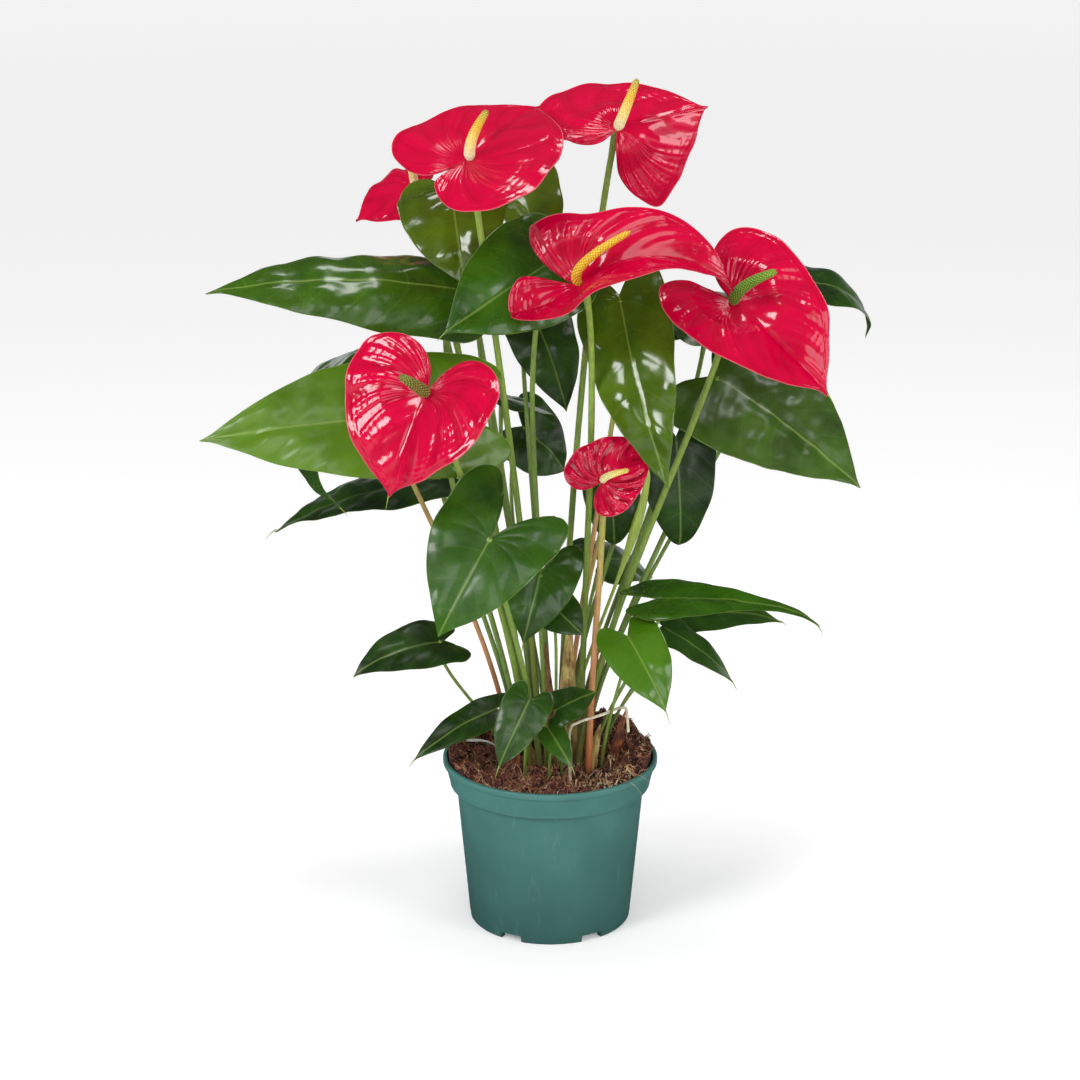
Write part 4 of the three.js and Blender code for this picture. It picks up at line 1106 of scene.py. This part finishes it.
SPATHE = [
    (0, 1), (0.035, 0.95), (0.13, 0.89), (0.45, 0.74), (0.78, 0.48), (0.97, 0.18),
    (1, -0.08), (0.9, -0.28), (0.64, -0.4), (0.34, -0.39), (0.11, -0.25), (0, -0.035),
]
CLOSED_SPATHE = [*SPATHE[:8], (0.62, -0.42), (0.3, -0.43), (0.07, -0.36), (0.012, -0.2), (0, -0.035)]
SPATHE_FORM = dict(
    outline=SPATHE, curl=-15, wave=2, edge=0.016, ribs=1.0, veins=8, slant=1.6, spread=0.8, bow=0.13)
SPATHE_THICK = 0.9
SPATHE_PITCH = 1.15
SPADIX_SEAT = 0.3
STEM_R = 2.7
STEM_STEPS = 80
FLORET_SPACING = 1.85
SPADIX_STEPS = 60
# Patterns per metre: clouds 22 mm wide in the red, and the grain of the flowers, drawn 1.3 mm wide.
RED_CLOUD_SCALE = 45
FLOWER_SCALE = 800
YELLOW = dict(tones=("#FFF6DE", "#FBE090", "#F6B81E", "#A8A040"), dot="#FFE27A", relief=0.45)

# One row for each bloom: as for a leaf, then where its spadix ends, its colours from foot to tip, the
# colour of its flowers' middles and how far they stand out, which also sets how dark the painted shade
# between the flowers is. ribs is the height of the ridges between the veins, and the crease number after it
# how dark the painted shade in the creases between them is.
BLOOMS = [
    dict(name="bloom_a", neck=(-59, -50, 622), tip=(-8, 26, 648), facing=(0.02, -0.24, 0.97), width=130,
         arch=20, outline=CLOSED_SPATHE, swing=-25, root=(-8, -4), spadix=(-46, -65, 660), thickness=4.2,
         ribs=0.6, tones=("#FFF6DE", "#FBE090", "#F6B81E", "#A09A34"), dot="#FFE27A", relief=0.45),
    dict(name="bloom_b", neck=(50, 12, 634), tip=(119, 40, 645), facing=(-0.12, -0.86, 0.5), width=140,
         arch=5, fold=-27, swing=48, root=(7, -3), spadix=(64, 2, 672), thickness=4.2, **YELLOW),
    dict(name="bloom_c", neck=(21, -72, 534), tip=(134, -66, 528), facing=(-0.1, -0.55, 0.84), width=100,
         arch=90, curl=-10, roll=25, lift=45, fold=36, swing=-50, root=(24, -17), turning=0.12,
         spadix=(57, -82, 575), thickness=3.5, tones=("#EBAA14", "#F2B81A", "#F4C026", "#F0B81C"),
         dot="#FFE066", relief=0.8),
    dict(name="bloom_d", neck=(135, -50, 515), tip=(204, -90, 454), facing=(0.22, -0.8, 0.52), width=118,
         arch=20, fold=28, root=(22, -24), spadix=(163, -88, 547), thickness=4.4, drip=6,
         tones=("#3E6A1C", "#4A7A22", "#5A8A28", "#86A838"), dot="#A8C84C", relief=0.8),
    dict(name="bloom_e", neck=(-90, -118, 464), tip=(-118, -138, 391), facing=(-0.42, -0.8, 0.43),
         width=128, arch=20, fold=18, root=(-16, -20), turning=0.12, spadix=(-107, -148, 484),
         thickness=4.4, ribs=1.25, stripes=0.5, drip=6, tones=("#4E5218", "#5A5E1E", "#686C24", "#88943A"),
         dot="#E0D468", relief=1),
    dict(name="bloom_f", neck=(39, -75, 385), tip=(74, -52, 410), facing=(0, -0.8, 0.6), width=60, arch=20,
         fold=20, root=(30, -27), spadix=(57, -98, 400), thickness=2.8, ribs=4.2, stripes=2.6, blush=0.85,
         tones=("#FAF0B8", "#F8EA9A", "#F4DC74", "#E8C850"), dot="#FFF6C0", relief=0.5),
    dict(name="bloom_g", neck=(-105, 85, 574), tip=(-151, 75, 550), facing=(-0.3, -0.5, 0.8), width=70,
         fold=0, root=(-18, 13), spadix=(-111, 65, 615), thickness=3.4, ribs=1.5, stripes=0.5, **YELLOW),
]


def spathe_upper(blade, x, y, vein, out):
    """Long ridges between sunken veins that fan out from the neck, puckered towards the margin."""
    reach = np.hypot(x, y)
    size = min(1.0, blade.width / 110)
    swell = ripples(int(blade.width * 3 + blade.length), 17 * size)
    beads = 0.1 * smooth(out, 0.4, 0.75) * np.sin(reach / (0.8 * size) + np.sin(np.floor(vein) * 12.9) * 7)
    rise = smooth(reach, 4, 26 * size) * (1 - smooth(out, 0.82, 0.97))
    ridge = 0.75 * blade.ribs * size * between_veins(vein) ** 0.9 * rise * (1 + beads)
    minor = 0.17 * blade.ribs * size * np.cos(2 * np.pi * vein * 3) * rise
    blister = 0.15 * size * swell(x, y) * smooth(out, 0.1, 0.5)
    blister = blister + 0.03 * size * swell(x * 4, y * 4) * smooth(out, 0.5, 0.8)
    rib = (0.35 * np.exp(-(x / 0.9) ** 2) - 0.7 * size * np.exp(-(x / 3) ** 2)) * smooth(y, 4, 20)
    collar = 0.22 * size * np.exp(-((out - 0.9) / 0.02) ** 2) * smooth(reach, 12, 30)
    fan = 0.1 * np.cos(2 * np.pi * vein * 3) * smooth(reach, 3, 8) * (1 - smooth(reach, 22, 40))
    return ridge + minor + blister + rib + collar + fan


def spathe_under(blade, x, y, vein, out):
    """The back follows the front, with its veins and midrib standing proud."""
    inner = (1 - smooth(out, 0.8, 0.96)) * smooth(out, 0.05, 0.2)
    side = 0.4 * np.exp(-(between_veins(vein) / 0.12) ** 2) * inner
    rib = 0.8 * np.exp(-(x / 1.5) ** 2) * smooth(y, 2, 10)
    return spathe_upper(blade, x, y, vein, out) - side - rib


def spathe_skin(name, shade, body, bright, rough, coat):
    """Spathe tissue under thick wax: crimson with painted shade in its creases and sunken veins and a
    slightly lighter painted tone on its ridges, with lacquer-like gloss.
    """
    made, shader, place = new_material(
        name, IOR=1.46, Coat_Weight=coat, Coat_Roughness=0.04, Coat_IOR=1.5)
    skin = add_node(made, "Attribute", attribute_name="skin").outputs["Vector"]
    level = add_node(made, "Attribute", attribute_name="level").outputs["Fac"]
    _, side, margin, fine = vein_masks(made, place, skin, (0.3, 1.1), (0.01, 0.07))
    clouds = add_node(made, "TexNoise", {
        "Vector": place, "Scale": RED_CLOUD_SCALE, "Detail": 4, "Roughness": 0.6})
    # Painted shade and a lighter painted tone: the colour follows the relief's level, dark in the creases and
    # lighter on the ridges.
    height = add_node(made, "Math", [level, 0.5, clouds], operation="MULTIPLY_ADD")
    colour = add_node(made, "ValToRGB", [height], stops=[(0.0, shade), (0.36, body), (1.0, bright)])
    # The sunken veins and the fine net take the painted shade tone too; the pale margin is the spathe's own
    # colour.
    for mask, share, tone in ((side, 0.2, shade), (fine, 0.04, shade), (margin, 0.55, "#F0808A")):
        colour = tint(made, colour, mask, share, tone)
    dull = add_node(made, "MapRange", [clouds, 0, 1, rough - 0.05, rough + 0.08])
    grain = add_node(made, "TexNoise", {"Vector": place, "Scale": SKIN_SCALE, "Detail": 3})
    bumps = add_node(made, "Math", [fine, -0.15, grain], operation="MULTIPLY_ADD")
    relief = add_node(made, "Bump", {"Strength": 0.08, "Distance": 0.0003, "Height": bumps})
    feed(made, shader, Base_Color=colour, Roughness=dull, Normal=relief)
    return made


spathe_materials = [
    spathe_skin("spathe_waxed_crimson", "#780018", "#B4002E", "#C40036", 0.13, 0.2),
    spathe_skin("spathe_back_red", "#7A0A1A", "#A0102A", "#B4283C", 0.42, 0.2),
]
flower_stem_skin = stalk_skin("flower_stem_green", "#5E5028", "#769238", "#8EA646", 0.34)


def spadix_flesh():
    """Packed flowers: matt and slightly waxy, each a small dome with a darker or brighter middle."""
    made, shader, place = new_material(
        "spadix_flowers", IOR=1.42, Subsurface_Weight=0.08, Subsurface_Scale=0.003)
    grain = add_node(made, "TexNoise", {"Vector": place, "Scale": FLOWER_SCALE, "Detail": 3})
    shade_tones(made, shader, grain, [(0.3, "#E6E6E6"), (0.65, "#FFFFFF")])
    dull = add_node(made, "MapRange", [grain, 0, 1, 0.42, 0.62])
    relief = add_node(made, "Bump", {"Strength": 0.25, "Distance": 0.0002, "Height": grain})
    feed(made, shader, Roughness=dull, Normal=relief)
    return made


spadix_material = spadix_flesh()


def tones_along(colours, share):
    """Colours blended evenly along a share from 0 to 1."""
    stops = np.array([linear(colour)[:3] for colour in colours])
    at = np.linspace(0, 1, len(stops))
    return np.stack([np.interp(share, at, stops[:, k]) for k in range(3)], -1)


def spadix_path(blade, row):
    """The spike's way: it leaves the spathe at right angles and bends to its tip."""
    base = blade.neck + blade.normal * SPADIX_SEAT
    end = np.array(row["spadix"], float)
    bow = base + blade.normal * 0.4 * np.linalg.norm(end - base)
    t = np.linspace(0, 1, 160)[:, None]
    return evenly(base * (1 - t) ** 2 + 2 * bow * t * (1 - t) + end * t**2, SPADIX_STEPS)


def add_spadix(row, blade):
    """The spike's core, and its flowers set round it in crossing spirals as small domes."""
    path, length = spadix_path(blade, row)
    share = np.linspace(0, 1, SPADIX_STEPS)
    body = row["thickness"] * (1 - 0.45 * share**2) * (0.72 + 0.28 * smooth(share, 0, 0.1))
    body = body * np.sqrt(np.clip(1 - np.maximum(0, (share - 0.93) / 0.07) ** 2, 0.02, 1))
    pile = Pile()
    points, quads, ends, at, _ = tube(path, body * INSIDE, 24)
    # The core shows only between the flowers and is darkened there as painted shade, more so the further the
    # flowers stand out.
    pile.add(points, quads, ends, tones_along(row["tones"], at) * (1 - 0.4 * row["relief"]))
    mean = float(body.mean())
    spacing = FLORET_SPACING * (0.8 + 0.4 * row["relief"])
    count = int(2 * math.pi * mean * length / (0.86 * spacing**2))
    along = np.gradient(path, axis=0)
    golden = math.pi * (3 - math.sqrt(5))
    hexagon = [(math.cos(q), math.sin(q)) for q in np.linspace(0, 2 * np.pi, 7)[:-1]]
    faces = np.roll(grid_faces(3, 6, closed=True), -1, axis=1)
    caps = [(18, 12 + (j + 1) % 6, 12 + j) for j in range(6)]
    dot = np.array(linear(row["dot"])[:3])
    area = np.concatenate([[0], np.cumsum(body)])[:-1]
    for i in range(count):
        s = float(np.interp((i + 0.5) / count * area[-1], area, share))
        if s < 0.015:
            continue
        place = np.array([np.interp(s, share, path[:, k]) for k in range(3)])
        way = unit(np.array([np.interp(s, share, along[:, k]) for k in range(3)]))
        a = unit(np.cross(way, [0.3, 1, 0.2]))
        b = np.cross(way, a)
        turn = i * golden
        out = a * math.cos(turn) + b * math.sin(turn)
        round_it = np.cross(way, out)
        r = float(np.interp(s, share, body))
        size = spacing * 0.53 * (0.55 + 0.45 * r / row["thickness"]) * rng.uniform(0.93, 1.07)
        rings = ((1.0, -0.3), (0.8, 0.32 * row["relief"]), (0.36, 0.42 * row["relief"]))
        dome = [place + out * (r * INSIDE + h * size) + (round_it * x + way * y) * size * w
                for w, h in rings for x, y in hexagon]
        dome.append(place + out * (r * INSIDE + 0.5 * row["relief"] * size))
        tone = tones_along(row["tones"], s) * rng.uniform(0.9, 1.06)
        # Each flower's sunken rim is darkened as painted shade, more so the further it stands out.
        painted_shade_rim_tone = tone * (1 - 0.3 * row["relief"])
        tones = np.array([painted_shade_rim_tone] * 6 + [tone] * 6 + [0.4 * tone + 0.6 * dot] * 6 + [dot])
        pile.add(np.array(dome), faces, caps, tones)
    made = pile.make(row["name"] + "_spadix_flowers", spadix_material)
    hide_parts(row["name"] + "_spadix")


def add_stem(name, path, radius, blush=0.0):
    """A round flower stem that widens a little where it joins the spathe."""
    size = stalk_shape(path, radius) + 0.5 * smooth(np.linspace(0, 1, len(path)), 0.975, 1)
    fibres = ripples(len(name) * 31, 30)
    points, quads, ends, share, _ = tube(
        path, size, 18, lambda s, angle: 1 + 0.02 * fibres(angle * 8, s * 260) + 0.012 * np.cos(5 * angle))
    fields = {"share": share, "blush": np.full(len(share), blush)}
    made = make_piece(
        name + "_round", points, [quads, ends], [flower_stem_skin], fields=fields)
    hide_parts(name)


def add_bloom(row):
    """A bloom as three pieces: its spathe, its stem and its spadix."""
    blade = blade_of(row, **SPATHE_FORM)
    shape = blade_shell(blade, SPATHE_PITCH, spathe_upper, spathe_under, SPATHE_THICK)
    whole = join_shapes(blade, shape, [drip_tip(blade)] * bool(blade.drip))
    skins = [*spathe_materials, flower_stem_skin]
    made = make_piece(
        row["name"] + "_spathe_waxed", whole.points, whole.faces, skins, whole.paint, whole.fields)
    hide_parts(row["name"] + "_spathe")
    end = blade.neck - blade.normal * SPATHE_THICK / 2
    path = stalk_path(row["root"], end, blade.normal, blade.turning, STEM_STEPS)
    add_stem(row["name"] + "_stem", path, STEM_R, blade.blush)
    add_spadix(row, blade)


for row in BLOOMS:
    add_bloom(row)


# ---------- Bud ----------
# A flower still in bud: its waxy crimson spathe is wound round the spadix as a pointed scroll, with a dark
# line of painted shade where the free edge lies. It stands on a round stem of its own.

BUD = dict(neck=(-73, 30, 467), tip=(-88, 38, 526), root=(-17, 5), stalk=2.2, swell=7, steps=70)

neck, tip = np.array(BUD["neck"], float), np.array(BUD["tip"], float)
add_stem("bud_stem", stalk_path(BUD["root"], neck, unit(tip - neck), TURNING, STEM_STEPS), BUD["stalk"])
share = np.linspace(0, 1, BUD["steps"])
radii = 0.94 * (1 + BUD["swell"] * np.sin(np.pi * share**0.8))
radii[-4:] *= [0.95, 0.85, 0.65, 0.35]
line, _ = evenly(np.stack([neck, tip]), BUD["steps"])
points, quads, ends, share, angle = tube(line, radii, 48, lambda s, a: scroll(a, s, 0.7, 0.16))
# Painted shade: the level drops to a dark line just under the scroll's free edge.
level = 0.7 - 1.1 * np.exp(-((((angle + 1.4 * np.pi * share) / (2 * np.pi)) % 1) / 0.06) ** 2)
fields = {"skin": np.tile(NO_VEINS, (len(share), 1)), "level": level}
bud = make_piece("bud_scroll", points, [quads, ends], spathe_materials[:1], fields=fields)
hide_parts("bud")


# ---------- Dry bracts, dry stalk and litter ----------
# Papery brown bracts and sheaths wrap the feet of the stems, a bleached stalk leans over the mix, and a
# narrow withered leaf lies on it at the left. All of it is dead, dry tissue, streaked along its fibres.

LANCE = [(0, 1), (0.3, 0.82), (0.72, 0.5), (1, 0.2), (0.9, 0.04), (0.5, -0.04), (0.16, -0.05), (0, -0.04)]
BRACT = dict(outline=LANCE, width=12, arch=10, curl=50, wave=0, veins=4)
BRACTS = [
    dict(name="bract_left", neck=(-28, -22, 138), tip=(-34, -27, 172), facing=(0.5, 0.9, 0)),
    dict(name="bract_right", neck=(52, -6, 138), tip=(60, -8, 178), facing=(-0.6, 0.8, 0)),
]
BRACT_STUB = 5
BRACT_R = 1.8
DRY_STALK = [(16, -44, 176), (21, -42, 179), (39, -36, 183), (58, -28, 186), (60, -27, 177), (61, -26, 165)]
DRY_STALK_R = 1.2
# Patterns per metre: papery fibres, drawn 1.1 mm apart, and rotted patches 11 mm wide.
PAPER_SCALE = 900
ROT_SCALE = 90


def dry_tissue(name, dark, middle, pale, rough):
    """Dead plant tissue: papery, streaked along its fibres and mottled where it has rotted."""
    made, shader, place = new_material(name, Roughness=rough, IOR=1.5)
    stretch = add_node(made, "Mapping", {"Vector": place, "Scale": (1, 1, 0.14)})
    streak = add_node(made, "TexNoise", {
        "Vector": stretch, "Scale": PAPER_SCALE, "Detail": 4, "Roughness": 0.7})
    patch = add_node(made, "TexNoise", {"Vector": place, "Scale": ROT_SCALE, "Detail": 4})
    mixed = add_node(made, "Math", [streak, patch], operation="MULTIPLY")
    colour = add_node(made, "ValToRGB", [mixed], stops=[(0.14, dark), (0.26, middle), (0.4, pale)])
    relief = add_node(made, "Bump", {"Strength": 0.5, "Distance": 0.0004, "Height": streak})
    feed(made, shader, Base_Color=colour, Normal=relief)
    return made


def dry_relief(_, x, y, *_rest):
    """Creases across and along a dry bract."""
    return 0.25 * np.sin(x * 2.6) + 0.3 * np.sin(y / 3.7 + x)


bract_paper = dry_tissue("bract_papery_brown", "#2E150C", "#6B3420", "#A8643C", 0.7)
for row in BRACTS:
    blade = blade_of(row, **BRACT)
    shape = blade_shell(blade, 0.8, dry_relief, dry_relief, 0.6)
    x, y, z = row["neck"]
    foot = [(x, y, level) for level in np.linspace(foot_height(x, y), z + BRACT_STUB, 12)]
    points, quads, ends, _, _ = tube(foot, BRACT_R * INSIDE, 14)
    n = len(shape.points)
    faces = [np.concatenate([shape.quads, quads + n]), np.concatenate([shape.triangles, ends + n])]
    bract = make_piece(row["name"] + "_papery", np.concatenate([shape.points, points]), faces, [bract_paper])
    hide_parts(row["name"])

x, y, _ = DRY_STALK[0]
line, _ = evenly(spline(np.array([(x, y, foot_height(x, y)), *DRY_STALK])), 90)
creases = ripples(23, 6)
points, quads, ends, _, _ = tube(
    line, DRY_STALK_R * INSIDE, 12,
    lambda s, a: 1 + 0.1 * np.cos(3 * a + 4 * s) + 0.05 * creases(a * 4, s * 120))
straw = dry_tissue("dry_stalk_bleached", "#8C8068", "#CFC4A6", "#EDE6D2", 0.75)
dry_stalk = make_piece("dry_stalk_bleached", points, [quads, ends], [straw])
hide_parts("dry_stalk")


def shell(grid, thick):
    """A thin closed sheet from a grid of places."""
    rows, columns = grid.shape[:2]
    flat = grid.reshape(-1, 3)
    quads = grid_faces(rows, columns)
    normal = normals_of(flat, [quads])
    n = rows * columns
    number = np.arange(n).reshape(rows, columns)
    loop = np.concatenate([number[0, :-1], number[:-1, -1], number[-1, :0:-1], number[:0:-1, 0]])
    after = np.roll(loop, -1)
    wall = np.stack([loop, after, after + n, loop + n], 1)
    points = np.concatenate([flat + normal * thick / 2, flat - normal * thick / 2])
    return points, np.concatenate([quads, quads[:, ::-1] + n, wall])


# One row for each sheath: the stem's root, where its top leans, its height and radius, the way it opens
# and half its arc in degrees, and its paper.
SHEATHS = [
    dict(root=(13, -10), top=(15, -8), high=125, size=8.4, turn=-92, open=120, paper="cream"),
    dict(root=(1, -6), top=(-2, 0), high=100, size=7.0, turn=-110, open=110, paper="brown"),
    dict(root=(26, -4), top=(37, 0), high=92, size=5.0, turn=-84, open=120, paper="rust"),
    dict(root=(-26, -8), top=(-35, -4), high=34, size=6.0, turn=-100, open=110, paper="rust"),
    dict(root=(-13, -16), top=(-22, -20), high=30, size=5.6, turn=-80, open=115, paper="brown"),
    dict(root=(30, -20), top=(40, -16), high=40, size=4.6, turn=-100, open=120, paper="cream"),
]
papers = {
    "cream": dry_tissue("sheath_cream", "#6E4A24", "#B49A58", "#D8CC88", 0.5),
    "brown": dry_tissue("sheath_brown", "#3A2214", "#7C5430", "#A88050", 0.65),
    "rust": dry_tissue("sheath_rust", "#5A2414", "#A85A34", "#CC8A5C", 0.5),
}

for i, row in enumerate(SHEATHS):
    up = np.linspace(0, 1, 30)[:, None]
    side = np.linspace(-1, 1, 24)[None]
    turn = np.radians(row["turn"] + row["open"] * side * (1 - 0.55 * up**2))
    x, y = row["root"]
    ground = float(soil_height(x, y)) - 3
    lift = up * row["high"] * (1 - 0.35 * np.abs(side) ** 1.8)
    size = row["size"] * (1 - 0.35 * up) * (1 + 0.05 * np.sin(9 * side + 4 * up + i))
    share = lift / row["high"]
    centre_x, centre_y = x + (row["top"][0] - x) * share, y + (row["top"][1] - y) * share
    grid = np.stack([centre_x + size * np.cos(turn), centre_y + size * np.sin(turn), ground + lift], -1)
    points, quads = shell(grid, 0.35)
    make_piece(f"dry_sheath_{i}", points, [quads], [papers[row["paper"]]])

# The withered leaf, and a dark twig behind the stems.
STRIP = [(-76, 16, 133), (-70, 17, 139), (-60, 15, 141), (-50, 10, 142), (-42, 2, 141)]
line, _ = evenly(spline(np.array(STRIP, float)), 60)
share = np.linspace(0, 1, 60)[:, None]
width = 2.3 * np.sin(np.pi * share**0.7) + 0.25
side = np.linspace(-1, 1, 9)[None]
grid = np.stack([line[:, :1] + 0.3 * side, line[:, 1:2] + width * side,
                 line[:, 2:] + 0.7 * side**2 + 0.25 * np.sin(14 * share + 2 * side)], -1)
points, quads = shell(grid, 0.3)
silver = dry_tissue("litter_silver_leaf", "#8E9088", "#C4C8C0", "#EEF0EA", 0.4)
make_piece("litter_strip", points, [quads], [silver])

TWIG = [(34, 24, 145), (40, 28, 151), (45, 34, 150), (52, 36, 155), (56, 42, 154)]
line, _ = evenly(spline(np.array(TWIG, float)), 60)
points, quads, ends, _, _ = tube(
    line, np.linspace(1.0, 0.4, 60), 9, lambda s, a: 1 + 0.15 * creases(a * 3, s * 60))
bark = dry_tissue("litter_twig", "#120C0A", "#2A1C18", "#4A342A", 0.8)
make_piece("litter_twig", points, [quads, ends], [bark])


# ---------- Studio ----------
# A plain pale floor that fills the view, soft boxes round the plant and a wide ceiling light over all of it.
# The floor glows faintly, and more so far away, so that it stays white up to a horizon that doesn't show.

FLOOR_SIZE = 30
PLANT_MIDDLE = (0, 0, 0.38)


def add_floor():
    """Matt white board, which takes the plant's soft shadow and glows as painted lighting, faintly by the
    plant and more so far away.
    """
    mesh = bpy.data.meshes.new("floor")
    half = FLOOR_SIZE / 2
    corners = [(-half, -half, 0), (half, -half, 0), (half, half, 0), (-half, half, 0)]
    mesh.from_pydata(corners, [], [(0, 1, 2, 3)])
    made = bpy.data.objects.new("floor", mesh)
    bpy.context.scene.collection.objects.link(made)
    material, shader, place = new_material("floor_glowing_white", Roughness=0.9)
    shader.inputs["Base Color"].default_value = linear("#F4F4F4")
    shader.inputs["Emission Color"].default_value = linear("#FFFFFF")
    # Painted lighting: the floor glows, faintly by the plant and brighter further off.
    away = add_node(material, "VectorMath", [place], operation="LENGTH")
    feed(material, shader, Emission_Strength=add_node(material, "MapRange", [away, 1.0, 15.0, 0.22, 0.76]))
    mesh.materials.append(material)
    made.visible_glossy = False


def add_lamp(name, place, size, power, target=PLANT_MIDDLE):
    """A square soft box that faces its target."""
    data = bpy.data.lights.new(name, "AREA")
    data.shape = "SQUARE"
    data.size = size
    data.energy = power
    made = bpy.data.objects.new(name, data)
    made.location = place
    way = mathutils.Vector(target) - mathutils.Vector(place)
    made.rotation_euler = way.to_track_quat("-Z", "Y").to_euler()
    bpy.context.scene.collection.objects.link(made)
    return made


def add_room():
    """White walls low round the floor that go dim higher up, so that the wax mirrors only the soft boxes."""
    world = bpy.data.worlds.new("studio")
    world.use_nodes = True
    background = world.node_tree.nodes["Background"]
    background.inputs["Color"].default_value = linear("#FFFFFF")
    way = add_node(world, "TexCoord").outputs["Generated"]
    height = add_node(world, "SeparateXYZ", [way]).outputs["Z"]
    tilt = add_node(world, "Math", [height], operation="ABSOLUTE")
    feed(world, background, Strength=add_node(world, "MapRange", [tilt, 0.06, 0.24, 0.9, 0.06]))
    bpy.context.scene.world = world


add_floor()
add_lamp("soft_box_left", (-1.5, -1.5, 1.7), 0.8, 27)
add_lamp("soft_box_right", (1.7, -1.3, 1.2), 0.8, 12)
add_lamp("soft_box_front", (0.3, -2.7, 1.5), 1.4, 17)
add_lamp("soft_box_top", (0.1, 0.2, 2.0), 0.5, 8)
add_lamp("ceiling", (0, 0, 5), 22, 900, target=(0, 0, 0)).visible_glossy = False
add_room()
bpy.context.scene.view_settings.view_transform = "Standard"
